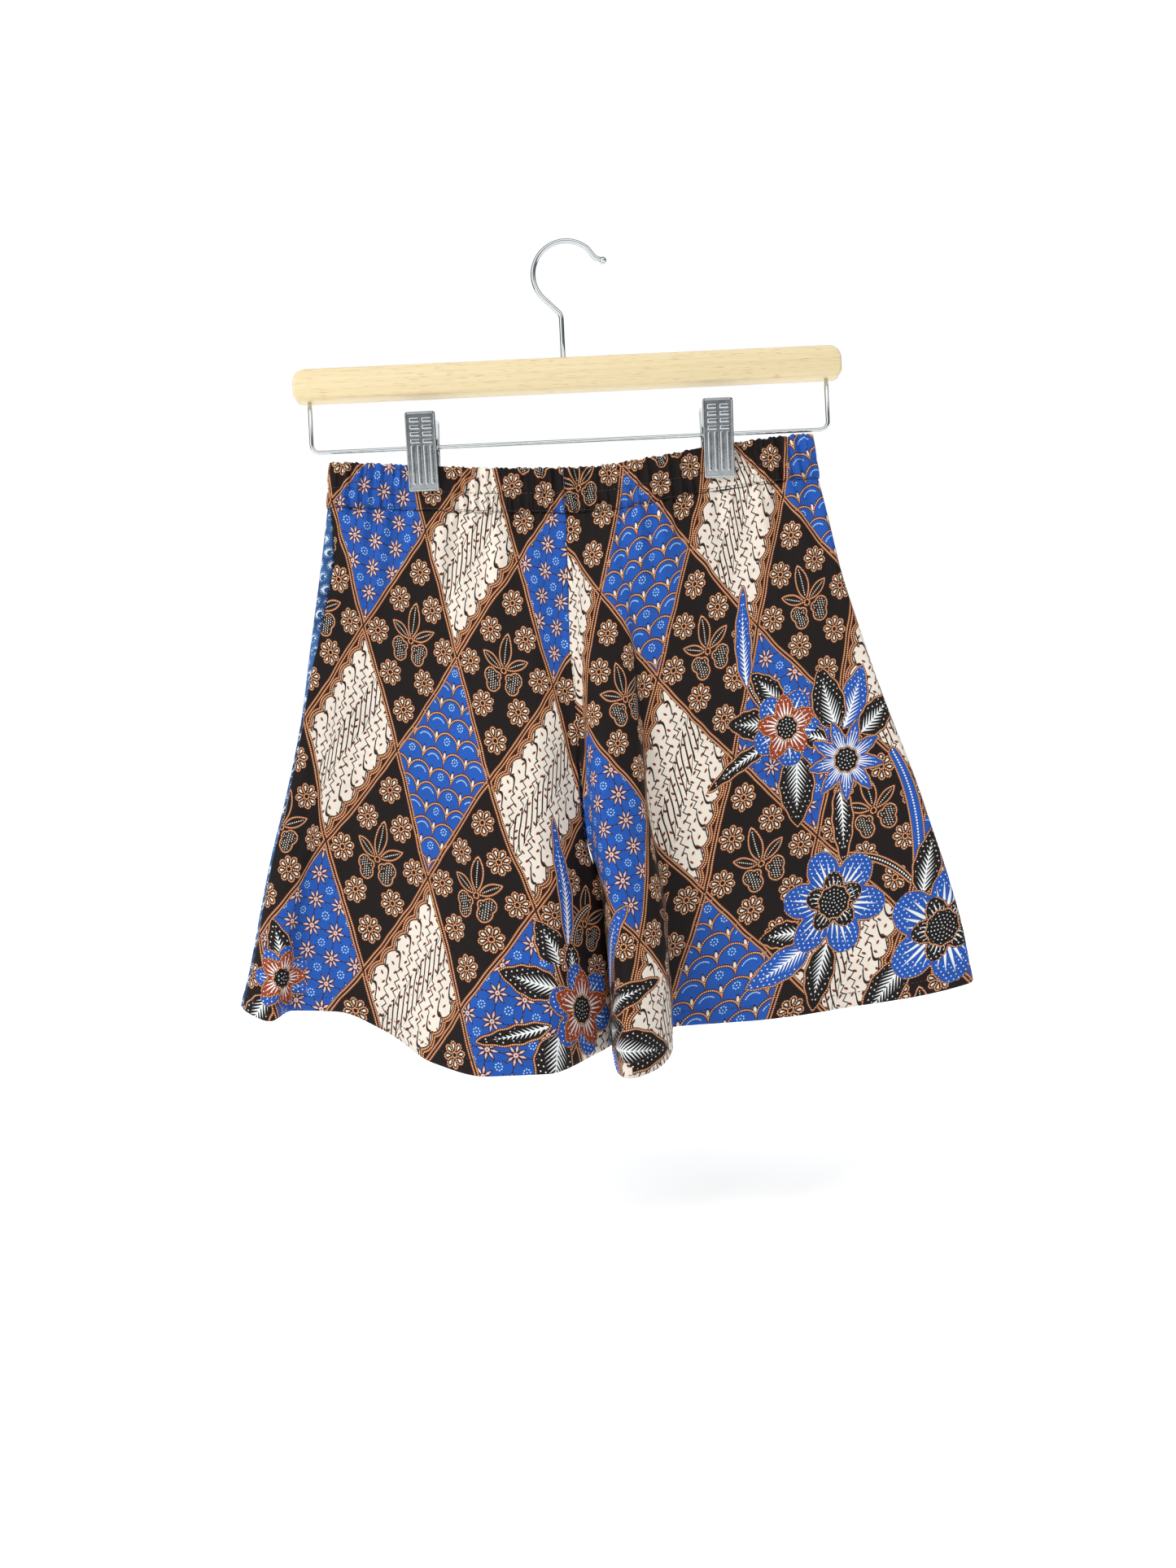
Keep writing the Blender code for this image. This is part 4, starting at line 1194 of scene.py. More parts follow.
@dataclass(frozen=True)
class Stem:
    """A stem at its place on the flat cloth: its ends, how far its middle bows aside and its half
    width. A thin one is dark."""

    u: float
    v: float
    to_u: float
    to_v: float
    bow: float
    half_width: float
    layer: str = "stem"

    def coordinates(self, flat: Array) -> Array:
        """The stem's own coordinates of places on the cloth: distance along it, distance across it
        and its half width.

        Args:
            flat: flat coordinates of the cloth.
        Returns:
            The three numbers at each place.
        """
        length = math.hypot(self.to_u - self.u, self.to_v - self.v)
        cu, cv = (self.to_u - self.u) / length, (self.to_v - self.v) / length
        du, dv = flat[..., 0] - self.u, flat[..., 1] - self.v
        run, off = du * cu + dv * cv, dv * cu - du * cv
        share = np.clip(run / length, 0.0, 1.0)
        off = off - self.bow * 4 * share * (1 - share)
        past = np.maximum(0.0, np.maximum(-run, run - length))
        half = self.half_width * (0.55 + 0.45 * np.sin(math.pi * (0.15 + 0.7 * share)))
        return np.stack([run, off, half - past], axis=-1)

    def near(self, own: Array) -> Array:
        """Where the stem and its outline may lie."""
        return np.abs(own[..., 1]) - own[..., 2] < 4.0


BUNCHES: dict[Side, tuple[Leaf | Flower | Stem, ...]] = {
    Side.RIGHT: (
        Stem(254.0, -183.0, 266.0, -268.0, 7.0, 3.6),
        Stem(216.0, -246.0, 262.0, -268.0, 6.0, 1.5),
        Stem(150.0, -97.0, 172.0, -150.0, -9.0, 1.5),
        Leaf(151.0, -128.0, 97.0, 64.0, 5.4, -5.0, True, "leaf_b"),
        Leaf(176.0, -143.0, 128.0, 31.0, 8.0, 3.0),
        Leaf(170.0, -154.0, 178.0, 33.0, 9.0, -3.0),
        Leaf(166.0, -168.0, 196.0, 46.0, 4.6, 9.0, False, "leaf_b"),
        Leaf(187.0, -176.0, 266.0, 46.0, 11.5, 3.0, False, "leaf_b"),
        Leaf(216.0, -163.0, 108.0, 42.0, 11.0, -3.0),
        Leaf(221.0, -163.0, 62.0, 42.0, 9.5, 3.0, True, "leaf_b"),
        Leaf(233.0, -168.0, 38.0, 34.0, 9.0, 2.0),
        Leaf(208.0, -170.0, 158.0, 22.0, 6.0, 0.0, False, "leaf_b"),
        Leaf(216.0, -200.0, 276.0, 50.0, 6.2, -4.0),
        Leaf(270.0, -278.0, 82.0, 44.0, 9.0, -5.0),
        Leaf(190.0, -290.0, 172.0, 27.0, 7.4, 3.0),
        Leaf(196.0, -298.0, 214.0, 43.0, 9.5, -4.0, True, "leaf_b"),
        Leaf(208.0, -300.0, 258.0, 40.0, 9.0, 4.0),
        Leaf(262.0, -318.0, 232.0, 46.0, 11.0, 5.0),
        Flower(180.0, -158.0, 24.0, 25, 5, False, True),
        Flower(221.0, -184.0, 8.0, 26, 9, True),
        Flower(211.0, -274.0, 20.0, 34, 6),
        Flower(284.0, -301.0, 40.0, 37, 5),
        Leaf(1.0, -303.0, 60.0, 62.0, 8.5, -7.0, True),
        Leaf(5.0, -320.0, 24.0, 60.0, 7.0, -4.0, False, "leaf_b"),
        Leaf(-6.0, -330.0, 2.0, 42.0, 10.0, 3.0),
        Leaf(20.0, -338.0, 352.0, 52.0, 12.0, 4.0, False, "leaf_b"),
        Leaf(2.0, -342.0, 330.0, 36.0, 9.0, 0.0, True, "leaf_b"),
    ),
    Side.LEFT: (
        Leaf(-27.0, -276.0, 83.0, 80.0, 5.4, 7.0, True, "leaf_b"),
        Stem(-24.0, -284.0, -2.0, -252.0, 7.0, 1.5),
        Leaf(-33.0, -291.0, 112.0, 34.0, 9.5, 3.0),
        Leaf(-38.0, -302.0, 168.0, 38.0, 9.0, -3.0),
        Leaf(-46.0, -324.0, 197.0, 46.0, 4.8, -4.0, False, "leaf_b"),
        Leaf(-40.0, -329.0, 256.0, 42.0, 12.5, 3.0),
        Leaf(-24.0, -292.0, 92.0, 18.0, 6.0, 0.0),
        Flower(-18.0, -315.0, 12.0, 28, 6, False, True),
        Leaf(-240.0, -300.0, 96.0, 32.0, 8.0, 4.0),
        Leaf(-250.0, -318.0, 236.0, 34.0, 8.5, -3.0),
        Flower(-240.0, -306.0, 0.0, 21, 7, False, True),
    ),
}


def lay_bunches(mesh: bpy.types.Mesh, flat: Array, side: Side | None) -> None:
    """Write each motif's own coordinates at the face corners that it covers, a map for each layer.

    Args:
        mesh: the piece of cloth.
        flat: the flat coordinates of each row and column.
        side: the half of the skort that the piece is on, or None for cloth without motifs.
    """
    corners = np.empty(len(mesh.loops), np.int32)
    mesh.loops.foreach_get("vertex_index", corners)
    rows, columns = (values[corners] for values in grid_places(mesh))
    for layer in ("stem", "leaf_b", "leaf_a", "flower"):
        values = np.tile(np.array([FAR, FAR, 0.0], np.float32), (len(mesh.loops), 1))
        for motif in BUNCHES.get(side, ()):
            if motif.layer == layer:
                own = motif.coordinates(flat)
                near = motif.near(own)[rows, columns].reshape(-1, 4).any(axis=1).repeat(4)
                values[near] = own[rows, columns][near]
        made = mesh.attributes.new(layer, "FLOAT_VECTOR", "CORNER")
        made.data.foreach_set("vector", values.ravel())


@dataclass(frozen=True)
class Lay:
    """How a piece lies on the printed cloth: its turn in degrees and its shift in millimetres."""

    turn: float
    shift: tuple[float, float]

    def place(self, flat: Array) -> Array:
        """The printed cloth's coordinates of a piece's flat ones.

        Args:
            flat: flat coordinates of the cloth.
        Returns:
            The printed cloth's coordinates.
        """
        c, s = math.cos(math.radians(self.turn)), math.sin(math.radians(self.turn))
        u, v = flat[..., 0], flat[..., 1]
        return np.stack([u * c + v * s + self.shift[0], v * c - u * s + self.shift[1]], axis=-1)


LAYS = {Side.LEFT: Lay(-13.0, (188.1, 38.0)), Side.RIGHT: Lay(16.0, (70.0, 202.6))}


# ---- Shader sums


Socket = bpy.types.NodeSocket
Number = Union["Value", float]


def ink(red: int, green: int, blue: int) -> Colour:
    """A colour as seen on a screen, 0 to 255, made linear."""
    shares = (red / 255, green / 255, blue / 255)
    return tuple(c / 12.92 if c <= 0.04045 else ((c + 0.055) / 1.055) ** 2.4 for c in shares)


def math_method(operation: str, words: str, swapped: bool = False) -> Callable[..., "Value"]:
    """A method for Value that adds one Math node.

    Args:
        operation: the node's operation.
        words: what the method gives.
        swapped: whether the other number comes first.
    Returns:
        The method.
    """

    def method(self: "Value", *others: Number) -> "Value":
        """Add the node."""
        return self.shader.math(operation, *((*others, self) if swapped else (self, *others)))

    method.__doc__ = words
    return method


class Value:
    """A number in a material's node tree, on which Python's operators add Math nodes."""

    def __init__(self, shader: "Shader", socket: Socket) -> None:
        """Hold an output socket of a shader."""
        self.shader, self.socket = shader, socket

    __add__ = __radd__ = math_method("ADD", "Sum.")
    __sub__ = math_method("SUBTRACT", "Difference.")
    __rsub__ = math_method("SUBTRACT", "Difference from a plain number.", swapped=True)
    __mul__ = __rmul__ = math_method("MULTIPLY", "Product.")
    __truediv__ = math_method("DIVIDE", "Quotient.")
    __pow__ = math_method("POWER", "Power.")
    __abs__ = math_method("ABSOLUTE", "Size without its sign.")
    floor = math_method("FLOOR", "Whole part.")
    fract = math_method("FRACT", "Part above the whole number.")
    sine = math_method("SINE", "Sine of an angle in radians.")
    sign = math_method("SIGN", "-1 or 1.")
    least = math_method("MINIMUM", "The smaller of two.")
    most = math_method("MAXIMUM", "The larger of two.")
    less_than = math_method("LESS_THAN", "1 where it is less than the other.")
    more_than = math_method("GREATER_THAN", "1 where it is more than the other.")
    joined = math_method("SMOOTH_MIN", "The smaller of two, blended over a distance.")
    turn_from = math_method("ARCTAN2", "Angle with this as its far side and the other as its near one.")

    def scaled(self, factor: Number, plus: Number, clamp: bool = False) -> "Value":
        """Times a factor, plus another."""
        return self.shader.math("MULTIPLY_ADD", self, factor, plus, clamp=clamp)

    def clamp(self) -> "Value":
        """Held between 0 and 1."""
        return self.shader.math("ADD", self, 0.0, clamp=True)

    def hypot(self, other: Number) -> "Value":
        """Length of the two as sides of a right angle."""
        return self.shader.math("SQRT", self.scaled(self, other * other))

    def under(self, edge: float, soft: float = 0.22) -> "Value":
        """1 below an edge to 0 above it."""
        return self.scaled(-1 / soft, edge / soft + 0.5, clamp=True)

    def over(self, edge: float, soft: float = 0.22) -> "Value":
        """1 above an edge to 0 below it."""
        return self.scaled(1 / soft, 0.5 - edge / soft, clamp=True)

    def toward(self, other: Number, share: "Value") -> "Value":
        """The other number where share is 1, this one where it is 0."""
        return self.shader.between(self, other, share)

    def off_centre(self, pitch: float, shift: float = 0.0) -> "Value":
        """Distance from the middle of the nearest of a row of places, a pitch apart."""
        return self.scaled(1 / pitch, shift).fract().scaled(pitch, -pitch / 2)


class Shader:
    """A material's node tree and the ways that its nodes are added."""

    def __init__(self, name: str) -> None:
        """Start a material with its surface shader.

        Args:
            name: the material's name.
        """
        self.material = bpy.data.materials.new(name)
        self.material.use_nodes = True
        self.tree = self.material.node_tree
        self.surface = self.tree.nodes["Principled BSDF"]

    def join(self, socket: Socket, value: object) -> None:
        """Give a socket a link or a value.

        Args:
            socket: the input socket.
            value: an output socket, a Value, a colour or a plain number.
        """
        if isinstance(value, Value):
            value = value.socket
        if isinstance(value, Socket):
            self.tree.links.new(value, socket)
        elif isinstance(value, tuple) and socket.type == "RGBA":
            socket.default_value = (*value, 1.0)
        else:
            socket.default_value = value

    def node(
        self, kind: str, settings: dict[str, object] | None = None, sockets: dict | None = None
    ) -> bpy.types.Node:
        """Add any node.

        Args:
            kind: the node's type.
            settings: its settings, which are set first.
            sockets: values or links for its inputs, by name or number.
        Returns:
            The node.
        """
        made = self.tree.nodes.new(kind)
        for name, value in (settings or {}).items():
            setattr(made, name, value)
        for name, value in (sockets or {}).items():
            self.join(made.inputs[name], value)
        return made

    def math(self, operation: str, *values: Number, clamp: bool = False) -> Value:
        """Numbers through one Math node."""
        settings = {"operation": operation, "use_clamp": clamp}
        return Value(self, self.node("ShaderNodeMath", settings, dict(enumerate(values))).outputs[0])

    def between(self, first: Number, second: Number, share: Value) -> Value:
        """A number between two."""
        sockets = {0: share, 2: first, 3: second}
        return Value(self, self.node("ShaderNodeMix", {"data_type": "FLOAT"}, sockets).outputs[0])

    def paint(self, under: Socket | Colour, mask: Number, over: Socket | Colour) -> Socket:
        """A colour over another where the mask is 1."""
        sockets = {0: mask, 6: under, 7: over}
        return self.node("ShaderNodeMix", {"data_type": "RGBA"}, sockets).outputs[2]

    def tinted(self, colour: Socket | Colour, grey: Value) -> Socket:
        """A colour made lighter or darker by a number, as cloth is by its wear."""
        sockets = {0: colour, "Scale": grey}
        return self.node("ShaderNodeVectorMath", {"operation": "SCALE"}, sockets).outputs[0]

    def split(self, vector: Socket) -> tuple[Value, Value, Value]:
        """A vector's three numbers."""
        made = self.node("ShaderNodeSeparateXYZ", None, {0: vector})
        return tuple(Value(self, made.outputs[i]) for i in range(3))

    def chance(self, vector: Socket, scale: float, detail: float, flat: bool) -> bpy.types.Node:
        """A smooth noise over a place.

        Args:
            vector: the place.
            scale: how fine the noise is.
            detail: how rough it is.
            flat: whether only the place's first two numbers count.
        Returns:
            The noise's node.
        """
        settings = {"noise_dimensions": "2D" if flat else "3D"}
        sockets = {"Vector": vector, "Scale": scale, "Detail": detail}
        return self.node("ShaderNodeTexNoise", settings, sockets)

    def noise(self, vector: Socket, scale: float, detail: float = 1.0, flat: bool = False) -> Value:
        """One smooth number by chance over a place, about 0.5."""
        return Value(self, self.chance(vector, scale, detail, flat).outputs["Fac"])

    def place(self, stretch: tuple[float, float, float] = (1.0, 1.0, 1.0)) -> Socket:
        """Place in the object's own space, in metres, stretched along its axes."""
        own = self.node("ShaderNodeTexCoord").outputs["Object"]
        return self.node("ShaderNodeMapping", None, {"Vector": own, "Scale": stretch}).outputs[0]

    def map(self, name: str) -> Socket:
        """One of the piece's own maps."""
        return self.node("ShaderNodeAttribute", {"attribute_name": name}).outputs["Vector"]

    def bump(self, height: Value, distance: float, strength: float = 1.0) -> None:
        """Raise the surface by a height.

        Args:
            height: the height.
            distance: what a height of 1 is, in metres.
            strength: how much of it shows.
        """
        sockets = {"Height": height, "Distance": distance, "Strength": strength}
        made = self.node("ShaderNodeBump", None, sockets)
        self.join(self.surface.inputs["Normal"], made.outputs["Normal"])

    def finish(self, colour: object, roughness: object, **fixed: float) -> Material:
        """Wire up the surface.

        Args:
            colour: its colour.
            roughness: its roughness.
            fixed: numbers for other sockets, with "_" for a space.
        Returns:
            The material.
        """
        for name, value in {"Base_Color": colour, "Roughness": roughness, **fixed}.items():
            self.join(self.surface.inputs[name.replace("_", " ")], value)
        return self.material


# ---- Batik


@dataclass(frozen=True)
class Inks:
    """The prints' colours."""

    charcoal: Colour = ink(22, 16, 15)
    brown: Colour = ink(44, 20, 14)
    near_black: Colour = ink(15, 10, 9)
    blue: Colour = ink(34, 84, 170)
    cream: Colour = ink(230, 221, 208)
    white: Colour = ink(232, 236, 236)
    rust: Colour = ink(112, 48, 20)
    brick: Colour = ink(150, 60, 30)
    maroon: Colour = ink(50, 22, 34)
    pink: Colour = ink(222, 188, 182)
    bead: Colour = ink(228, 190, 146)
    bead_rim: Colour = ink(152, 78, 36)
    pale_blue: Colour = ink(176, 214, 236)
    navy: Colour = ink(26, 52, 96)
    back_blue: Colour = ink(62, 104, 158)
    back_moon: Colour = ink(196, 208, 222)
    back_ring: Colour = ink(150, 178, 208)
    back_dot: Colour = ink(214, 222, 232)


INKS = Inks()
TO_MM = 1000.0  # the print map's metres to the print's millimetres
FINE = 0.2  # how soft the edge of a fine line is
EIGHTHS = 4 / math.pi  # eighths of a turn in a radian
NO_BEAD = 9.0  # distance from a bead line's middle where there is none
PAST_TIP = 60.0  # how fast a flower's distances grow beyond its petals


class Painting:
    """A print in the making: its shader, its colour so far, and all its bead lines so far, so that
    one set of nodes can draw them at the end."""

    weave: tuple[float, float] = (0.00052, 0.00058)  # pitch of the threads, in metres

    def __init__(self, name: str, ground: Socket | Colour) -> None:
        """Start with a plain ground and no lines.

        Args:
            name: the cloth's name.
            ground: its colour before any print.
        """
        self.s, self.colour = Shader(name), ground
        self.place = self.s.map("print")
        self.across: Number = NO_BEAD
        self.along: Number = 0.0
        self.band: Number = 0.0

    def paint(self, mask: Value, over: Socket | Colour) -> None:
        """Lay a colour over the print where the mask is 1."""
        self.colour = self.s.paint(self.colour, mask, over)

    def line(self, band: Value, across: Value, along: Value) -> None:
        """Lay a bead line over those that are there.

        Args:
            band: 1 on the line.
            across: distance from the line's middle.
            along: distance along it.
        """
        between = self.s.between
        self.across = between(self.across, across, band)
        self.along = between(self.along, along, band)
        self.band = between(self.band, 1.0, band)

    def cover(self, mask: Value) -> None:
        """Take away the bead lines under a mask."""
        self.across = self.s.between(self.across, NO_BEAD, mask)
        self.band = self.s.between(self.band, 0.0, mask)

    def draw_lines(self, pitch: float) -> None:
        """Paint the bead lines, with beads a pitch apart.

        Args:
            pitch: the beads' pitch.
        """
        reach = self.across.hypot(self.along.off_centre(pitch))
        self.paint(self.band, INKS.rust)
        self.paint(reach.under(0.56, 0.25) * self.band, INKS.bead_rim)
        self.paint(reach.under(0.4, 0.25) * self.band, INKS.bead)

    def edge(self, away: Value, along: Value, rim: float = 1.8) -> None:
        """Give a motif its brown rim and its bead line, over whatever lies under it.

        Args:
            away: distance outside the motif's edge.
            along: distance along the edge.
            rim: how far the rim reaches.
        """
        self.cover(away.under(1.5))
        self.paint(away.under(rim), INKS.brown)
        self.line(away.under(1.5) * away.over(0.15), away - 0.8, along)

    def cloth(self) -> Material:
        """The finished cloth, with its weave, its slight unevenness and its low sheen.

        Returns:
            The material.
        """
        s = self.s
        cloud, grain = s.noise(self.place, 26.0, 3.0, flat=True), s.noise(self.place, 900.0, flat=True)
        colour = s.tinted(self.colour, cloud.scaled(0.24, 0.86) + grain * 0.08)
        warp, weft = (at * (2 * math.pi / pitch) for at, pitch in zip(s.split(self.place), self.weave))
        s.bump((warp.sine() * weft.sine()).scaled(0.35, grain * 0.9 + cloud), 0.00022, 0.55)
        fixed = {"Sheen_Weight": 0.03, "Sheen_Roughness": 0.4, "Specular_IOR_Level": 0.16}
        return s.finish(colour, cloud.scaled(0.14, 0.5), **fixed)


@dataclass
class Cell:
    """The lattice's diamonds of one kind: 1 in them, and the place from their middle."""

    mask: Value
    x: Value
    y: Value


@dataclass
class Petals:
    """A ring of petals: distance from the middle over the ring's radius, turn in whole turns, count
    of petals, radius, how pointed they are from 0 to 1, and distance from the nearest dot."""

    r: Value
    turn: Value
    count: Number
    size: Value
    point: Value
    speckle: Value


@dataclass(frozen=True)
class FrontPrint:
    """The front's batik: a lattice of long diamonds, by turns charcoal with flowers, cream parang and
    blue, with bunches of flowers laid over it. Sizes are in millimetres of flat cloth."""

    width: float = 80.0
    height: float = 146.0
    bead: float = 1.3
    wobble: float = 2.2  # how far the drawn lines stray
    lobes: int = 6  # along one side of a cream diamond
    lobe_radius: float = 8.2
    lobe_at: float = 13.8  # a lobe's middle, in from the side
    notch_at: float = 9.5
    bulge_to: float = 15.0  # where the lines between the strips have passed a lobe
    jag_at: float = 17.5  # where they turn to zigzags
    hook_at: float = 28.0  # and where they are straight again, between hooked lines
    jag: float = 5.4  # how far a zigzag swings, four times over
    strip_lean: float = 0.257  # strips that a line has moved over at the diamond's middle
    strip_shift: float = 0.743
    echo_pitch: float = 1.65  # of the bead lines round a lobe
    dash_pitch: float = 5.4
    dash_step: float = 0.41  # how far each column of dashes is moved on
    dash_way: tuple[float, float] = (0.77, 0.64)  # cosine and sine of a dash's slant
    blossom_slope: float = 0.565  # of the rows of small flowers
    blossom_rows: tuple[float, float] = (2.5, 32.0)  # where the second and the top row start
    blossom_first: float = 28.0  # across to the first flower
    blossom_in: float = 14.0  # and back to the one of the next row
    blossom_up: tuple[float, float] = (24.5, 21.5)  # up to the next rows
    petal_at: float = 6.2  # a small petal's round end
    star_pitch: float = 17.0
    star_ray: float = 3.9  # a ray's middle
    scale_width: float = 19.0
    scale_height: float = 11.4
    scale_radius: float = 10.6
    scale_rim: float = 0.7  # a scale's bead line, in from its edge
    drop_at: float = 6.2  # a drop's middle between two scales
    arc_radius: float = 6.1
    ring_radius: float = 2.15  # of the small rings of dots
    border_bead: float = 1.1  # a diamond's bead line, in from its side
    leaf_dots: tuple[float, float] = (3.2, 3.1)  # pitch along a leaf and across it
    leaf_stroke: float = 3.0
    dot_pitch: float = 3.0  # of the dots on large petals
    inner_turn: float = 0.1  # of the inner ring of petals
    inner_count: float = 5.0
    disc_radius: float = 0.29  # over the flower's radius
    disc_scallops: int = 9
    seed_pitch: float = 2.2

    @property
    def side(self) -> float:
        """Length of a diamond's side."""
        return math.hypot(self.width, self.height) / 2

    @property
    def norm(self) -> float:
        """Distance between a diamond's opposite sides."""
        return 1 / math.hypot(1 / self.width, 1 / self.height)

    def material(self) -> Material:
        """The finished cloth.

        Returns:
            The material.
        """
        p = Painting("front batik", INKS.charcoal)
        u, v, _ = p.s.split(p.place)
        astray = p.s.split(p.s.chance(p.place, 42.0, 1.0, flat=True).outputs["Color"])
        u, v = (at.scaled(TO_MM, off * self.wobble) for at, off in zip((u, v), astray))
        m = u * (1 / self.width)
        a, b = v.scaled(1 / self.height, m), v.scaled(-1 / self.height, m)
        ia, ib = a.floor(), b.floor()
        off_a, off_b = a - ia - 0.5, b - ib - 0.5
        x, y = (off_a + off_b) * (self.width / 2), (off_a - off_b) * (self.height / 2)
        odd_a, odd_b = (ia * 0.5).fract() * 2, (ib * 0.5).fract() * 2
        black = Cell(abs(odd_a - odd_b), x, y)
        blue = 1 - odd_a.most(odd_b)
        scaly = ((ia - ib) * 0.25).fract() * 2
        edge_a, edge_b = (abs(off).scaled(-self.norm, self.norm / 2) for off in (off_a, off_b))
        p.paint(blue, INKS.blue)
        self.parang(p, Cell(odd_a * odd_b, x, y), off_b)
        self.small_flowers(p, black)
        self.butterfly(p, black)
        self.stars(p, Cell(blue * (1 - scaly), x, y))
        self.scales(p, Cell(blue * scaly, x, y))
        border = edge_a.least(edge_b)
        across, up = u * (self.width / 2 / self.side), v * (self.height / 2 / self.side)
        along = across + up * edge_b.less_than(edge_a).scaled(2.0, -1.0)
        p.line(border.under(1.95, FINE) * border.over(0.42, FINE), border - self.border_bead, along)
        p.paint(border.under(0.46, FINE), INKS.near_black)
        self.ribbon(p)
        for name in ("leaf_b", "leaf_a"):
            self.leaf(p, name)
        self.flower(p)
        p.draw_lines(self.bead)
        return p.cloth()

    def parang(self, p: Painting, cell: Cell, q: Value) -> None:
        """Paint the cream diamonds: lobes along two sides, strips with zigzag lines and dashes.

        Args:
            p: the print.
            cell: these diamonds.
            q: place between the lobed sides, -0.5 to 0.5.
        """
        x, y, norm = cell.x, cell.y, self.norm
        half_w, half_h = self.width / 2, self.height / 2
        p.paint(cell.mask, INKS.brown)
        side = q.sign()
        edge = abs(q).scaled(-norm, norm / 2)
        pitch = self.side / self.lobes
        aside = (half_h**2 - half_w**2) / (2 * self.side)
        run = x.scaled(half_w / self.side, y * (half_h / self.side)) + side * aside
        lobe = run.off_centre(pitch)
        inner = (edge - self.lobe_at).least(0.0)
        reach = lobe.hypot(inner) - self.lobe_radius
        inside = cell.mask * reach.under(0.0)
        row = (reach - 0.4).off_centre(self.echo_pitch)
        rows = cell.mask * reach.under(3.7) * reach.over(0.42) * abs(row).under(0.66, 0.15)
        p.line(rows, row, lobe.turn_from(inner * -1.0) * (self.lobe_radius + 1.6))
        p.paint(inside, INKS.cream)
        strip = pitch * half_w / self.side
        turned = (edge - self.notch_at).scaled(1 / (self.bulge_to - self.notch_at), 0.0, clamp=True)
        bulge = 1 - (1 - turned) ** 2.2
        lean = (edge - self.jag_at).most(0.0) * (self.strip_lean / (norm / 2 - self.jag_at))
        column = x * (1 / strip) + side * (lean + self.strip_shift)
        whole = column.floor()
        g = (column - whole).scaled(strip, -strip / 2)
        column = column + side * (bulge - 1) * 0.5
        jag = abs((y * (half_w / half_h / strip * 2)).fract() - 0.5) - 0.25
        ragged = edge.over(self.jag_at, 2.0) * edge.under(self.hook_at)
        line = abs((column + 0.5).fract().scaled(strip, -strip / 2) + jag * ragged * self.jag)
        row = y.scaled(1 / self.dash_pitch, whole * self.dash_step)
        step = row.floor()
        h = (row - step).scaled(self.dash_pitch, -self.dash_pitch / 2)
        lean = (step * 0.5).fract().scaled(4.0, -1.0)
        off = lean.scaled(-1.25, g)
        c, s = self.dash_way
        length, width = h * c + off * lean * s, off * c - h * lean * s
        dash = (length * length).scaled(0.27, abs(width))
        p.paint(inside * dash.under(0.74), INKS.rust)
        hook = self.hook_at - edge
        barb = abs(g * side + hook * 1.3).most(abs(hook + 1.1) - 1.1)
        line = line.least(abs(g).most(hook)).least(barb)
        p.paint(inside * line.under(0.46, FINE), INKS.brown)

    def small_flowers(self, p: Painting, cell: Cell) -> None:
        """Paint the eight small flowers of a charcoal diamond.

        Args:
            p: the print.
            cell: these diamonds.
        """
        black, fx, fy = cell.mask, abs(cell.x), abs(cell.y)
        line = fx.scaled(-self.blossom_slope, fy)
        second, top = (line.more_than(start) for start in self.blossom_rows)
        fx = fx - self.blossom_first + (second + top) * self.blossom_in
        fy = fy - second * self.blossom_up[0] - top * self.blossom_up[1]
        r, turn = fx.hypot(fy), fy.turn_from(fx)
        sector = (turn * EIGHTHS).fract() - 0.5
        lateral = abs(sector) * r * (1 / EIGHTHS)
        between = (0.5 - abs(sector)) * r * (1 / EIGHTHS)
        tip = (r - self.petal_at).most(0.0)
        petal = lateral.hypot(tip) - (r - 2.9).scaled(0.34, 0.0, clamp=True)
        p.paint(black * petal.under(2.15) * r.under(9.6), INKS.brown)
        p.line(black * between.under(0.62) * r.under(6.9), between, r)
        outer = black * petal.under(1.75) * petal.over(0.5) * r.over(6.3)
        p.line(outer, petal - 1.12, lateral.turn_from(r - 6.0) * 2.2)
        p.line(black * r.under(2.4), r - 1.8, turn * 1.66)
        centre = black * r.under(1.15)
        p.cover(centre)
        p.paint((black * petal.under(0.46) * r.over(2.5)).most(centre), INKS.near_black)
        p.paint(black * petal.under(-0.2) * r.over(3.2), INKS.cream)

    def stars(self, p: Painting, cell: Cell) -> None:
        """Paint eight-rayed stars joined by thin threads, with dotted rings between them.

        Args:
            p: the print.
            cell: these diamonds.
        """
        mask, pitch = cell.mask, self.star_pitch
        sx, sy = cell.x.off_centre(pitch, 0.5), cell.y.off_centre(pitch, 0.5)
        p.paint(mask * abs(sx).least(abs(sy)).under(0.26, FINE), INKS.maroon)
        r = sx.hypot(sy)
        sector = (sy.turn_from(sx) * EIGHTHS + 0.5).fract() - 0.5
        ray = abs(r - self.star_ray).scaled(0.3, abs(sector) * r * (1 / EIGHTHS)) - 0.9
        p.paint(mask * ray.under(0.5) * r.under(7.4), INKS.maroon)
        p.paint(mask * ray.under(-0.15), INKS.pink)
        p.paint(mask * r.under(2.0), INKS.maroon)
        p.paint(mask * r.under(1.5) * r.over(0.45), INKS.pink)
        self.ringlet(p, Cell(mask, cell.x.off_centre(pitch), cell.y.off_centre(pitch)))

    def ringlet(self, p: Painting, cell: Cell) -> None:
        """Paint a ring of eight pale dots round one.

        Args:
            p: the print.
            cell: where rings may be, and the place from a ring's middle.
        """
        ring, turn = cell.x.hypot(cell.y), cell.y.turn_from(cell.x)
        dot = (ring - self.ring_radius).hypot((turn * EIGHTHS).off_centre(1.0) * 1.69)
        p.paint(cell.mask * dot.under(0.47).most(ring.under(0.45)), INKS.pale_blue)

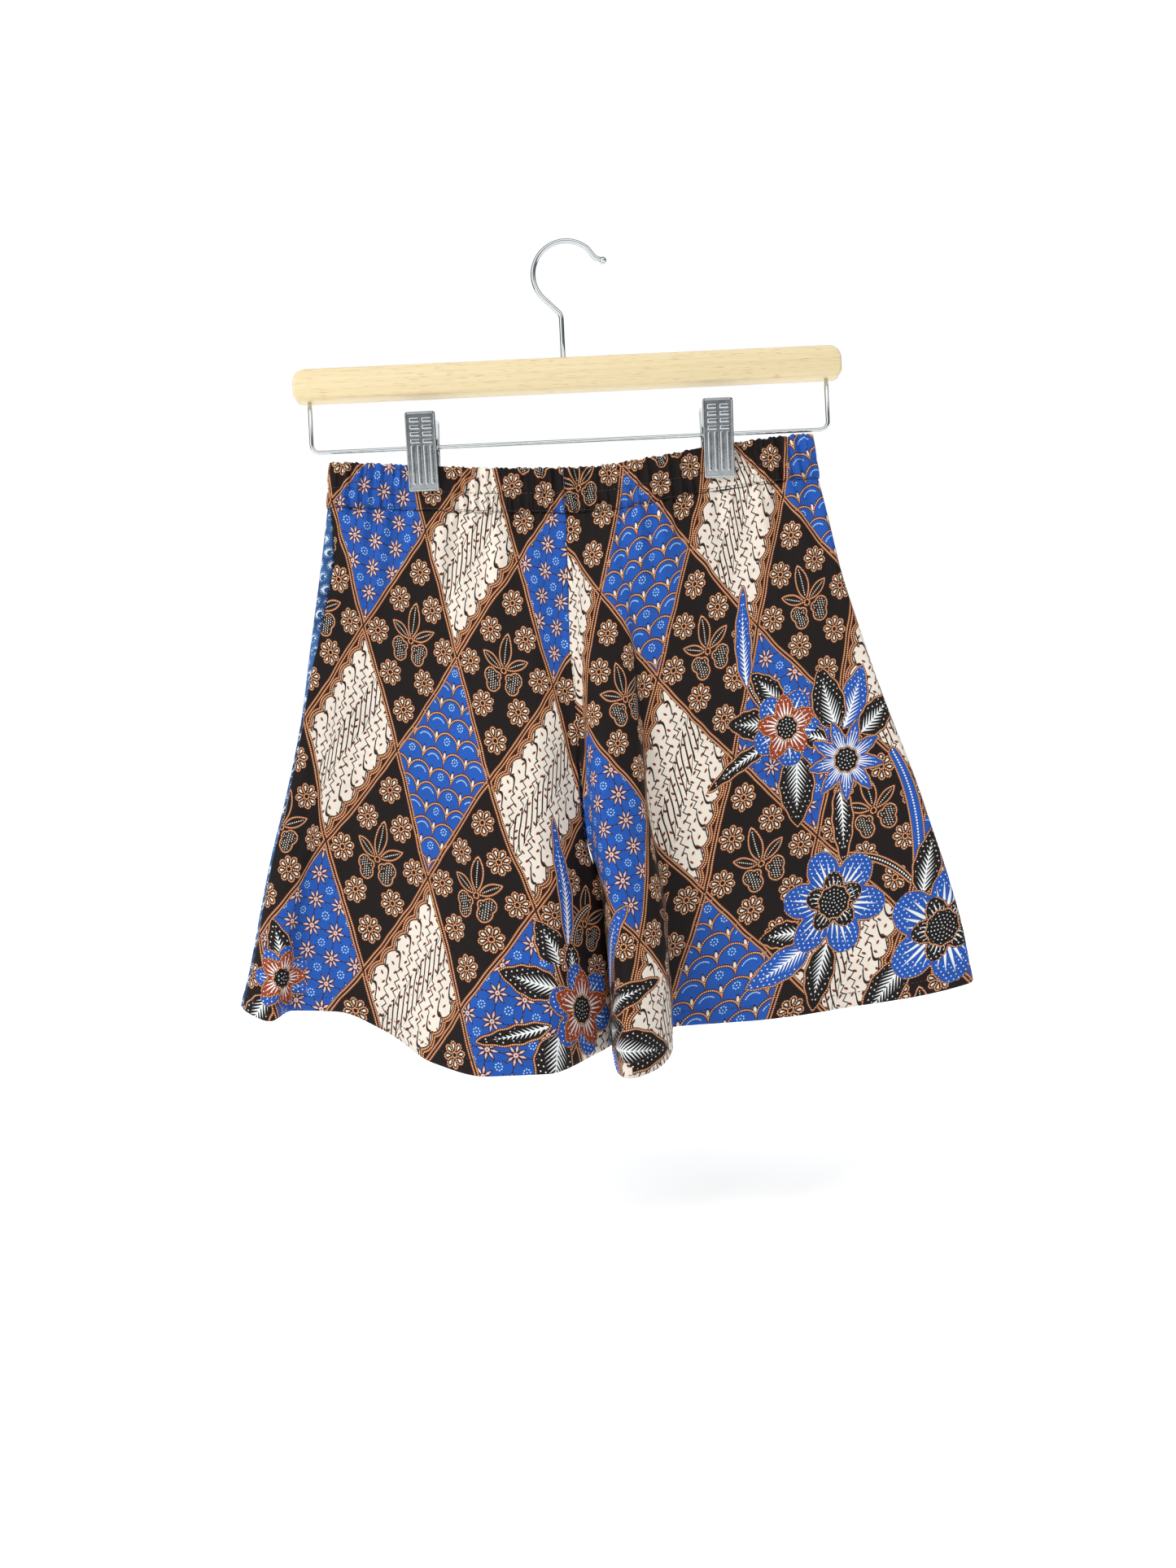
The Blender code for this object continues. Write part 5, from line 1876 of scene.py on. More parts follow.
    def scales(self, p: Painting, cell: Cell) -> None:
        """Paint overlapping scales with their dotted arcs and rings and the drops between them.

        Args:
            p: the print.
            cell: these diamonds.
        """
        mask, wide = cell.mask, self.scale_width
        level = cell.y * (1 / self.scale_height)
        k = level.floor()
        fy = (level - k) * self.scale_height
        across = cell.x.scaled(1 / wide, (k * 0.5).fract())
        c = across.floor()
        fx = (across - c).scaled(wide, -wide / 2)
        dome = fx.hypot(fy) - self.scale_radius
        rim, high = dome + self.scale_rim, fy - self.drop_at
        p.paint(mask * abs(rim).under(1.05, FINE), INKS.maroon)
        p.line(mask * abs(rim).under(0.62, FINE), rim, fx.turn_from(fy) * 9.4)
        drop = (abs(fx) - wide / 2).hypot(high * 0.42) + high * -0.1
        outside = mask * dome.over(0.0)
        p.paint(outside * drop.under(1.35), INKS.maroon)
        p.paint(outside * drop.under(0.9), INKS.cream)
        inside, arcs = mask * dome.under(-1.6), (c * 0.5).fract() * 2
        low = fy - 0.4
        turn = fx.turn_from(low)
        arc_dot = (fx.hypot(low) - self.arc_radius).hypot((turn * self.arc_radius).off_centre(1.15))
        p.paint(inside * arcs * arc_dot.under(0.42) * abs(turn).under(0.95, 0.05), INKS.pale_blue)
        self.ringlet(p, Cell(inside * (1 - arcs), fx, fy - 4.9))

    def butterfly(self, p: Painting, cell: Cell) -> None:
        """Paint the flower in the middle of a charcoal diamond: three leaves and two dotted wings.

        Args:
            p: the print.
            cell: these diamonds.
        """
        black, side, up = cell.mask, abs(cell.x), cell.y
        top = (side + 12.3).hypot(up - 13.5) - 17.4
        length = side * 0.866 + up * 0.5
        off = abs(up * 0.866 - side * 0.5)
        leaf = (off + 11.2).hypot(length - 11.2) - 14.9
        wing = (side - 9.6).hypot(up + 4.6) - 5.3
        wing = wing.joined((side - 7.3).hypot(up + 10.0) - 5.6, 1.2)
        wing = wing.joined((side - 4.6).hypot(up + 4.8) - 3.4, 1.2)
        leaves = top.least(leaf)
        whole = leaves.least(wing)
        p.paint(black * abs(whole + 0.6).under(1.05, FINE), INKS.brown)
        p.line(black * abs(whole + 0.6).under(0.64, FINE), whole + 0.6, up * 0.87 + side * 0.75)
        on_leaf, on_top = leaves.less_than(wing), top.less_than(leaf)
        vein_dot = off.toward(side, on_top).hypot(length.toward(up, on_top).off_centre(1.5))
        wing_dot = side.off_centre(1.75, 0.2).hypot((up + side * 0.4).off_centre(1.6))
        dot = wing_dot.toward(vein_dot, on_leaf)
        p.paint(black * whole.under(-2.0) * dot.under(0.4), INKS.cream)
        middle = side.hypot(up)
        p.paint(black * middle.under(2.9), INKS.near_black)
        p.cover(black * middle.under(2.9))
        p.line(black * abs(middle - 1.9).under(0.66, FINE), middle - 1.9, up.turn_from(side) * 1.82)

    def ribbon(self, p: Painting) -> None:
        """Paint stems over the lattice: a blue ribbon with a dotted middle between two bead lines.

        Args:
            p: the print.
        """
        run, off, half = p.s.split(p.s.map("stem"))
        off = abs(off)
        away = off - half
        p.cover(away.under(1.5))
        p.paint(away.under(1.7), INKS.brown)
        p.line(away.under(1.4) * away.over(0.1), away - 0.75, run)
        p.paint(away.under(0.1), p.s.paint(INKS.blue, half.under(2.0), INKS.near_black))
        p.paint(away.under(0.0) * off.hypot(run.off_centre(1.9)).under(0.6), INKS.white)

    def leaf(self, p: Painting, name: str) -> None:
        """Paint leaves: a dark or blue ground with white dots, and white feather strokes.

        Args:
            p: the print.
            name: the map with the leaves' own coordinates.
        """
        run, off, kind = p.s.split(p.s.map(name))
        whole = abs(kind)
        length = whole.floor()
        half = (whole - length) * 100.0
        off, along = abs(off), run * length
        t = run.clamp()
        edge = (t**0.7) * (1 - t) * half * 3.16
        away = off - edge + (run * 26.0).sine() * 0.35
        away = away + (run.most(1.0) - 1.0 - run.least(0.0)) * length
        p.edge(away, along)
        p.paint(away.under(0.05), p.s.paint(INKS.charcoal, kind.under(0.0, 0.02), INKS.blue))
        inner = edge * (t * t).scaled(-1.25, 0.8)
        pitch, across = self.leaf_dots
        rank = (along * (1 / pitch)).floor()
        speckle = along.off_centre(pitch).hypot(rank.scaled(pitch / 2, off).off_centre(across))
        p.paint(away.under(-0.8) * (off - inner).over(0.5) * speckle.under(0.46), INKS.white)
        stroke = abs(off.scaled(-1.2, along).off_centre(self.leaf_stroke))
        taper = (1 - off / inner.most(0.05)) * t.scaled(-0.7, 1.3)
        mark = (stroke - taper).under(0.0) * (off - inner).under(0.0)
        spine = (off + t.scaled(1.0, -0.75)).under(0.0)
        p.paint(away.under(-0.5) * mark.most(spine), INKS.white)

    def flower(self, p: Painting) -> None:
        """Paint flowers: a ring of blue petals, a smaller ring of rust or dark ones over it, and a
        dotted disc. Flowers of pointed petals have no second ring.

        Args:
            p: the print.
        """
        fx, fy, code = p.s.split(p.s.map("flower"))
        rusty = code.under(0.0, 0.02)
        code = abs(code)
        petals = (code * 0.01).floor()
        rest = petals.scaled(-100.0, code)
        size = rest.floor()
        point = (rest - size).scaled(2.0, -0.5)
        r = fx.hypot(fy)
        reach = r * size
        turn = fy.turn_from(fx) * (0.5 / math.pi)
        pitch = self.dot_pitch
        rank = (fx * size * (1 / pitch)).floor()
        rows = (fy * size).scaled(1.0, rank * (pitch / 2)).off_centre(pitch)
        speckle = (fx * size).off_centre(pitch).hypot(rows)
        self.petals(p, Petals(r, turn, petals, size, point, speckle), INKS.blue)
        share = rusty.scaled(0.3, 0.56)
        inner = (r / share).most(rusty.most(1 - point).scaled(-NO_BEAD, NO_BEAD))
        point = rusty.scaled(0.45, 0.3)
        ring = (inner, turn + self.inner_turn, self.inner_count, size * share, point, speckle)
        self.petals(p, Petals(*ring), p.s.paint(INKS.charcoal, rusty, INKS.brick))
        scallops = (turn * (2 * math.pi * self.disc_scallops)).sine() * 0.45
        disc = (r - self.disc_radius) * size + scallops
        disc = (r - 1.0).most(0.0).scaled(PAST_TIP, disc)
        p.cover(disc.under(1.3))
        p.line(disc.under(1.2) * disc.over(0.0), disc - 0.6, turn * size * 1.7)
        p.paint(disc.under(0.0), INKS.near_black)
        pitch = self.seed_pitch
        step = (reach * (1 / pitch)).floor().scaled(5.0, 3.0)
        seeds = reach.off_centre(pitch).hypot((turn * step).off_centre(1.0) * pitch)
        p.paint(disc.under(-1.1) * seeds.under(0.38), INKS.white)

    def petals(self, p: Painting, ring: Petals, ground: Socket | Colour) -> None:
        """Paint one ring of petals, with white strokes from their feet and dots toward their tips.

        Args:
            p: the print.
            ring: the petals.
            ground: their colour.
        """
        r, size = ring.r, ring.size
        sector = (ring.turn * ring.count).fract() - 0.5
        lateral = abs(sector) * r * (2 * math.pi) / ring.count
        t = (r - 0.18).scaled(1 / 0.82, 0.0, clamp=True)
        shape = (t**0.5) * (1 - t) ** ring.point.scaled(0.45, 0.4)
        away = (lateral - shape * 3.5 / ring.count) * size + (r * 30.0).sine() * 0.22
        away = (r - 1.0).most(0.0).scaled(PAST_TIP, away)
        p.edge(away, r * size)
        p.paint(away.under(0.05), ground)
        p.paint(away.under(-0.9) * r.over(0.62, 0.02) * ring.speckle.under(0.44), INKS.white)
        fan = abs((sector * 6.0).off_centre(1.0, 0.5))
        stroke = abs(sector).scaled(0.5, r).scaled(0.85, fan - 0.72).under(0.0, 0.08)
        p.paint(stroke * away.under(-0.6), INKS.white)


@dataclass(frozen=True)
class BackPrint:
    """The back's print: navy with lighter clouds, pale crescents in rows and small white dots."""

    pitch_across: float = 9.0
    pitch_down: float = 8.0
    sway: tuple[float, float] = (1.6, 1.2)  # millimetres by which the rows wander
    moon: float = 2.35  # radius of a crescent
    bite: float = 1.75  # radius of what is cut out of it
    bite_at: tuple[float, float] = (0.95, -0.4)
    ring: float = 3.1  # radius of the ring of beads
    bead: float = 0.36
    bead_pitch: float = 1.5
    dot: float = 0.5

    def material(self) -> Material:
        """The finished cloth.

        Returns:
            The material.
        """
        p = Painting("back batik", INKS.navy)
        wobble = p.s.noise(p.place, 60.0, flat=True)
        u, v, _ = p.s.split(p.place)
        u = u.scaled(TO_MM, wobble * self.sway[0])
        v = v.scaled(TO_MM, wobble * self.sway[1])
        clouds = p.s.noise(p.place, 34.0, 3.0, flat=True)
        p.paint(clouds.scaled(3.2, -1.15, clamp=True), INKS.back_blue)
        row = v * (1 / self.pitch_down)
        k = row.floor()
        y = (row - k).scaled(self.pitch_down, -self.pitch_down / 2)
        across = u.scaled(1 / self.pitch_across, (k * 0.5).fract())
        c = across.floor()
        x = (across - c).scaled(self.pitch_across, -self.pitch_across / 2)
        x = x * (c * 0.5).fract().scaled(4.0, -1.0)
        outer = x.hypot(y)
        bitten = (x - self.bite_at[0]).hypot(y - self.bite_at[1]).over(self.bite)
        p.paint(outer.under(self.moon) * bitten, INKS.back_moon)
        round_it = (y.turn_from(x) * self.ring).off_centre(self.bead_pitch)
        p.paint(abs(outer - self.ring).hypot(round_it).under(self.bead), INKS.back_ring)
        dot = u.off_centre(self.pitch_across / 2).hypot(v.off_centre(self.pitch_down))
        p.paint(dot.under(self.dot), INKS.back_dot)
        return p.cloth()


# ---- Thread, wood and steel


@dataclass(frozen=True)
class CottonThread:
    """Dark sewing thread, matt, with its twist."""

    colour: Colour = ink(38, 30, 36)
    worn: Colour = ink(74, 62, 62)
    twist: float = 0.0007  # length of one turn, in metres
    fluff: float = 1400.0  # turns of the noise in a metre
    relief: float = 0.00008  # height of the bumps, in metres

    def material(self) -> Material:
        """The finished thread.

        Returns:
            The material.
        """
        s = Shader("cotton thread")
        place = s.place()
        x, y, z = s.split(place)
        turns = ((x + y + z) * (2 * math.pi / self.twist)).sine()
        fluff = s.noise(place, self.fluff, 2.0)
        colour = s.paint(self.colour, fluff.scaled(1.6, -0.5, clamp=True), self.worn)
        s.bump(turns.scaled(0.5, fluff), self.relief, 0.7)
        return s.finish(colour, fluff.scaled(0.2, 0.62), Sheen_Weight=0.2)


@dataclass(frozen=True)
class LacqueredWood:
    """Pale close-grained wood, its grain along the bar, under a thin satin lacquer."""

    pale: Colour = ink(228, 213, 174)
    warm: Colour = ink(219, 199, 154)
    line: Colour = ink(214, 184, 130)
    pore: Colour = ink(184, 142, 90)
    figure: Size = (4.0, 70.0, 70.0)  # turns of each noise in a metre, along x, y and z
    band: Size = (1.5, 120.0, 260.0)
    fibre: Size = (30.0, 1500.0, 1500.0)
    pores: Size = (110.0, 2600.0, 2600.0)
    dents: float = 70.0
    ring: tuple[float, float] = (700.0, 1500.0)  # radians in a metre, along y and z
    ring_sway: float = 17.0  # radians by which the figure bends the rings
    relief: float = 0.0001  # height of the bumps, in metres
    coat: float = 0.18
    coat_rough: float = 0.28
    mirror: float = 0.45

    def material(self) -> Material:
        """The finished wood.

        Returns:
            The material.
        """
        s = Shader("lacquered wood")
        own = s.place()
        broad = s.noise(s.place(self.figure), 0.6, 2.0)
        bands = s.noise(s.place(self.band), 1.0, 3.0)
        fibre = s.noise(s.place(self.fibre), 1.0, 2.0)
        pores = s.noise(s.place(self.pores), 1.0, 0.0).over(0.71, 0.08)
        dents = s.noise(own, self.dents)
        _, y, z = s.split(own)
        rings = (z.scaled(self.ring[1], y * self.ring[0]) + broad * self.ring_sway).sine()
        colour = s.paint(self.pale, bands.scaled(2.4, -0.75, clamp=True), self.warm)
        lines = rings.over(0.78, 0.5) * broad.scaled(0.9, 0.1, clamp=True) * 0.3
        colour = s.paint(colour, lines, self.line)
        colour = s.paint(colour, fibre.scaled(1.8, -0.72, clamp=True) * 0.5, self.warm)
        colour = s.paint(colour, pores * 0.6, self.pore)
        s.bump(fibre * 0.5 - pores * 0.8 + dents.scaled(1.6, rings * 0.15), self.relief, 0.5)
        rough = fibre.scaled(0.16, dents.scaled(0.12, 0.3))
        coat = {"Coat_Weight": self.coat, "Coat_Roughness": self.coat_rough}
        return s.finish(colour, rough, **coat, Specular_IOR_Level=self.mirror)


@dataclass(frozen=True)
class ChromedSteel:
    """Chrome plate: bright, with fine scratches, a slight orange peel and duller specks."""

    bright: Colour = ink(200, 205, 208)
    dull: Colour = ink(140, 142, 144)
    haze: float = 190.0  # turns of each noise in a metre
    speck: float = 1900.0
    scratch: Size = (260.0, 900.0, 6200.0)  # the same along x, y and z
    line: Size = (5200.0, 800.0, 300.0)
    rare: tuple[float, float] = (0.74, 0.06)  # noise over which a scratch shows, and its edge
    relief: float = 0.00004  # height of the bumps, in metres

    def material(self) -> Material:
        """The finished steel.

        Returns:
            The material.
        """
        s = Shader("chromed steel")
        place = s.place()
        haze = s.noise(place, self.haze, 3.0)
        speck = s.noise(place, self.speck)
        scratch = s.noise(s.place(self.scratch), 1.0)
        lines = s.noise(s.place(self.line), 1.0)
        marks = scratch.over(*self.rare).most(lines.over(*self.rare))
        wear = speck.over(0.7, 0.06) * haze.over(0.5, 0.3)
        colour = s.paint(self.bright, wear * 0.8 + marks * 0.12, self.dull)
        colour = s.tinted(colour, haze.scaled(0.16, 0.9))
        s.bump(haze.scaled(1.0, speck * 0.04) + marks * 0.04, self.relief, 0.3)
        rough = haze.scaled(0.12, 0.06) + marks * 0.1 + wear * 0.25
        return s.finish(colour, rough, Metallic=1.0)


@dataclass(frozen=True)
class PaleFloor:
    """A plain white floor that brightens with distance, so that no edge shows behind the object."""

    tone: Colour = ink(246, 246, 246)
    start: float = 0.25  # metres from the object, where it starts to brighten
    end: float = 2.6
    glow_near: float = 0.32
    glow: float = 0.5

    def material(self) -> Material:
        """The finished floor.

        Returns:
            The material.
        """
        s = Shader("pale floor")
        place, depth = s.place(), self.end - self.start
        x, y, _ = s.split(place)
        away = x.hypot(y).scaled(1 / depth, -self.start / depth, clamp=True)
        cloud = s.noise(place, 3.0, 2.0, flat=True)
        # painted glow: the floor emits light, 0.32 near the object and up to 0.82 far off, which
        # lightens its shade
        glow = s.paint(ink(0, 0, 0), away.scaled(self.glow, self.glow_near), ink(255, 255, 255))
        s.join(s.surface.inputs["Emission Color"], glow)
        fixed = {"Emission_Strength": 1.0, "Specular_IOR_Level": 0.1}
        return s.finish(s.tinted(self.tone, cloud.scaled(0.03, 0.985)), cloud.scaled(0.1, 0.8), **fixed)


# ---- Sewing the pieces together


def dress(piece: Object, slot: str, *nodes: str) -> None:
    """Fix a finished piece to the object and report it.

    Args:
        piece: the piece.
        slot: the record's material slot that it takes its finish from.
        nodes: the CAD nodes that it stands for.
    """
    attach(piece, "root")
    if nodes:
        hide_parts(*nodes)
    LOG.info("%s: %d faces", piece.name, len(piece.data.polygons))


@dataclass
class Stitching:
    """A row of sewing stitches on cloth, each a small capsule of thread."""

    length: float = 2.1
    gap: float = 0.75
    thread: float = 0.5
    lift: float = 0.16  # how far the thread stands off the cloth

    def along(self, line: Array, normals: Array) -> list[Matrix]:
        """Places of stitches along a line.

        Args:
            line: points along the cloth's surface.
            normals: the cloth's outward direction at each.
        Returns:
            A matrix for each stitch, from a ball of radius 1 to the stitch in millimetres.
        """
        run = line_lengths(line)
        pitch = self.length + self.gap
        count = int(run[-1] // pitch)
        starts = (run[-1] - count * pitch + self.gap) / 2 + pitch * np.arange(count)
        places = []
        ends = (read_table(starts, run, line), read_table(starts + self.length, run, line))
        ends = (*ends, read_table(starts + self.length / 2, run, normals))
        for start, end, normal in zip(*ends):
            ahead = Vector(end - start).normalized()
            side = ahead.cross(Vector(normal)).normalized()
            up = side.cross(ahead)
            shape = Matrix((side, up, ahead)).transposed().to_4x4()
            size = Matrix.Diagonal((self.thread / 2, self.thread / 2.4, self.length / 2, 1.0))
            places.append(Matrix.Translation(Vector((start + end) / 2) + up * self.lift) @ shape @ size)
        return places

    def mesh(self, name: str, places: Sequence[Matrix]) -> bpy.types.Mesh:
        """One mesh of all the stitches, each a copy of one small ball drawn out.

        Args:
            name: its name.
            places: the stitches' places.
        Returns:
            The mesh, in metres.
        """
        ball = bmesh.new()
        bmesh.ops.create_uvsphere(ball, u_segments=6, v_segments=5, radius=1.0)
        verts = np.array([(*vert.co, 1.0) for vert in ball.verts])
        faces = [[vert.index for vert in patch.verts] for patch in ball.faces]
        ball.free()
        moved = np.concatenate([verts @ np.array(place).T for place in places])[:, :3] * MM
        joined = [[i + k * len(verts) for i in patch] for k in range(len(places)) for patch in faces]
        mesh = bpy.data.meshes.new(name)
        mesh.from_pydata(moved.tolist(), [], joined)
        return mesh


@dataclass
class Skort:
    """The skort itself: four panels, the gathered casing and the rows of stitching."""

    cut: Cut = field(default_factory=Cut)
    sizes: ClothSizes = field(default_factory=ClothSizes)
    stitch: Stitching = field(default_factory=Stitching)

    def build(self) -> None:
        """Make and dress every piece of cloth."""
        self.garment = Garment(self.cut, self.sizes)
        self.front_cloth = FrontPrint().material()
        self.back_cloth = BackPrint().material()
        self.thread = CottonThread().material()
        hem = []
        for side, face in self.garment.panels:
            sheet = self.garment.panel_sheet(side, face)
            self.panel(side, face, sheet)
            hem += self.hem_row(sheet, face)
        self.casing()
        self.threads(hem, "hem_stitching", "front_batik")

    def panel(self, side: Side, face: Face, sheet: Sheet) -> None:
        """Make one panel.

        Args:
            side: the half that it is on.
            face: the face that it is on.
            sheet: its points.
        """
        front = face is Face.FRONT
        node = f"{face.name.lower()}_{side.name.lower()}"
        bm = sheet_bmesh(sheet.points)
        lay_flat_map(bm, LAYS[side].place(sheet.flat) if front else sheet.flat, "print")
        mesh = mesh_of(bm, node)
        if front:
            lay_bunches(mesh, sheet.flat, side)
        piece = place_object(node + "_cloth", mesh, [self.front_cloth if front else self.back_cloth])
        self.thicken(piece, sheet)
        dress(piece, f"{face.name.lower()}_batik", node)
        wide, tall = (float(np.ptp(sheet.flat[:, :, k])) * MM for k in (0, 1))

    def thicken(self, piece: Object, sheet: Sheet) -> None:
        """Give a panel its wall, twice as thick where the hem is turned up.

        Args:
            piece: the panel.
            sheet: its points.
        """
        turned = 1 - smooth_step((lengths_to_foot(sheet.points) - self.cut.hem_height + 0.6) / 1.2)
        group = piece.vertex_groups.new(name="turned hem")
        for i, (row, column) in enumerate(zip(*grid_places(piece.data))):
            if turned[row, column] > 0:
                group.add([i], float(turned[row, column]), "REPLACE")
        wall = piece.modifiers.new("wall", "SOLIDIFY")
        wall.thickness, wall.offset = self.sizes.hem_wall * MM, 0.0
        wall.vertex_group = group.name
        wall.thickness_vertex_group = self.sizes.wall / self.sizes.hem_wall

    def hem_row(self, sheet: Sheet, face: Face) -> list[Matrix]:
        """Sew a panel's hem.

        Args:
            sheet: the panel's points.
            face: the face that it is on.
        Returns:
            The stitches' places.
        """
        above = lengths_to_foot(sheet.points)[::-1]
        normals = grid_normals(sheet.points)
        normals *= face.value * np.sign(np.mean(normals[:, :CHIEF_COLUMNS, 1]))
        line, out = (
            np.array(
                [
                    read_table(self.cut.hem_height, above[:, column], table[::-1, column])
                    for column in range(above.shape[1])
                ]
            )
            for table in (sheet.points, normals)
        )
        return self.stitch.along(line + out * (self.sizes.wall + self.sizes.hem_wall) / 4, out)

    def casing(self) -> None:
        """Make the gathered casing and its two rows of stitching."""
        casing = Casing(self.garment)
        sheet, front, right = casing.sheet()
        bm = sheet_bmesh(sheet.points)
        lays = [LAYS[side].place(sheet.flat) for side in (Side.LEFT, Side.RIGHT)]
        on_front = np.where(right[None, :, None] > 0.5, lays[1], lays[0])
        lay_flat_map(bm, np.where(front[None, :, None] > 0.5, on_front, sheet.flat), "print")
        column_layer = bm.verts.layers.int["column"]
        for patch in bm.faces:
            ahead = min(front[vert[column_layer]] for vert in patch.verts) > 0.5
            patch.material_index = 0 if ahead else 1
        bmesh.ops.remove_doubles(bm, verts=bm.verts, dist=WELD)
        bmesh.ops.recalc_face_normals(bm, faces=bm.faces)
        mesh = mesh_of(bm, "casing")
        lay_bunches(mesh, sheet.flat, None)
        piece = place_object("waist_casing_cloth", mesh, [self.front_cloth, self.back_cloth])
        dress(piece, "casing_batik", "waist_casing")
        rows = []
        normals = grid_normals(sheet.points)
        normals *= -np.sign(np.mean(normals[8, :CHIEF_COLUMNS, 1]))
        for below in self.cut.stitch_rows:
            rise = 1 - below / self.cut.casing_height
            place = 1 + rise * (casing.profile_outer - 1)
            low = int(place)
            line = mix(sheet.points[low], sheet.points[low + 1], place - low)
            out = mix(normals[low], normals[low + 1], place - low)
            rows += self.stitch.along(line, out)
        self.threads(rows, "casing_stitching", "casing_batik")

    def threads(self, places: Sequence[Matrix], name: str, slot: str) -> None:
        """Make rows of stitches as one piece.

        Args:
            places: the stitches' places.
            name: the piece's name.
            slot: the material slot of the cloth that they are sewn through.
        """
        dress(place_object(name, self.stitch.mesh(name, places), [self.thread]), slot)


# ---- The hanger


def tube(points: Sequence[Vector], radius: float, sides: int = 20) -> BMesh:
    """A round wire along points, with rounded ends.

    Args:
        points: its middle line, in millimetres.
        radius: the wire's radius.
        sides: how many sides it has.
    Returns:
        The bmesh, in millimetres.
    """
    bm = bmesh.new()
    ring = bmesh.ops.create_circle(bm, cap_ends=False, segments=sides, radius=radius)["verts"]
    edges = list({edge for vert in ring for edge in vert.link_edges})
    heading = (points[1] - points[0]).normalized()
    turn = Vector((0, 0, 1)).rotation_difference(heading).to_matrix().to_4x4()
    bmesh.ops.transform(bm, matrix=Matrix.Translation(points[0]) @ turn, verts=ring)
    first = edges
    for i in range(1, len(points)):
        grown = bmesh.ops.extrude_edge_only(bm, edges=edges)["geom"]
        ring = [item for item in grown if isinstance(item, bmesh.types.BMVert)]
        edges = [item for item in grown if isinstance(item, bmesh.types.BMEdge)]
        ahead = (points[min(i + 1, len(points) - 1)] - points[i - 1]).normalized()
        swing = heading.rotation_difference(ahead).to_matrix().to_4x4()
        place = Matrix.Translation(points[i]) @ swing @ Matrix.Translation(-points[i - 1])
        bmesh.ops.transform(bm, matrix=place, verts=ring)
        heading = ahead
    for ends, away in ((first, points[0] - points[1]), (edges, points[-1] - points[-2])):
        cap = bmesh.ops.edgeloop_fill(bm, edges=ends)["faces"]
        bmesh.ops.inset_region(bm, faces=cap, thickness=radius * 0.4, depth=0.0)
        rim = list({vert for patch in cap for vert in patch.verts})
        bmesh.ops.translate(bm, vec=away.normalized() * radius * 0.35, verts=rim)
    bmesh.ops.recalc_face_normals(bm, faces=bm.faces)
    return bm


def finished(bm: BMesh, name: str, finish: Material, smooth: bool = True) -> Object:
    """A bmesh in millimetres made an object in metres.

    Args:
        bm: the bmesh, which is freed.
        name: the piece's name.
        finish: its material.
        smooth: whether its faces are shaded smooth.
    Returns:
        The object.
    """
    bmesh.ops.scale(bm, vec=(MM, MM, MM), verts=bm.verts)
    return place_object(name, mesh_of(bm, name), [finish], smooth)


def add_cube(bm: BMesh, size: Size, centre: Size) -> list[bmesh.types.BMVert]:
    """Add a plain box of a size about its middle, and give its corners."""
    place = Matrix.Translation(centre) @ Matrix.Diagonal((*size, 1.0))
    return bmesh.ops.create_cube(bm, size=1.0, matrix=place)["verts"]


def ease(bm: BMesh, edges: list[bmesh.types.BMEdge], width: float, steps: int) -> None:
    """Round edges off, in steps.

    Args:
        bm: the bmesh that they are in.
        edges: the edges.
        width: how far they are eased.
        steps: how many steps round each.
    """
    bmesh.ops.bevel(
        bm, geom=edges, offset=width, segments=steps, profile=0.5, affect="EDGES", material=-1
    )


def add_box(bm: BMesh, size: Size, centre: Size, width: float, steps: int = 3) -> None:
    """Add a box with eased edges.

    Args:
        bm: the bmesh to add it to.
        size: its size.
        centre: its middle.
        width: how far its edges are eased.
        steps: how many steps round each edge.
    """
    verts = add_cube(bm, size, centre)
    ease(bm, list({edge for vert in verts for edge in vert.link_edges}), width, steps)


def depth_along(edge: bmesh.types.BMEdge) -> float:
    """How far an edge runs from front to back."""
    return abs(edge.verts[0].co.y - edge.verts[1].co.y)


def on_circle(centre: tuple[float, float], radius: float, angle: float) -> Vector:
    """A point of a circle in the XZ plane."""
    return Vector((centre[0] + radius * math.cos(angle), 0.0, centre[1] + radius * math.sin(angle)))


def rounded(
    before: Vector, corner: Vector, after: Vector, radius: float, count: int = 10
) -> list[Vector]:
    """Points round a corner between two straight runs.

    Args:
        before: a point of the first run.
        corner: where the runs would meet.
        after: a point of the second run.
        radius: how round the corner is.
        count: how many steps it has.
    Returns:
        The points.
    """
    first = (before - corner).normalized()
    second = (after - corner).normalized()
    reach = radius / math.tan(first.angle(second) / 2)
    start, end = corner + first * reach, corner + second * reach
    shares = [i / count for i in range(count + 1)]
    return [start.lerp(corner, s).lerp(corner.lerp(end, s), s) for s in shares]


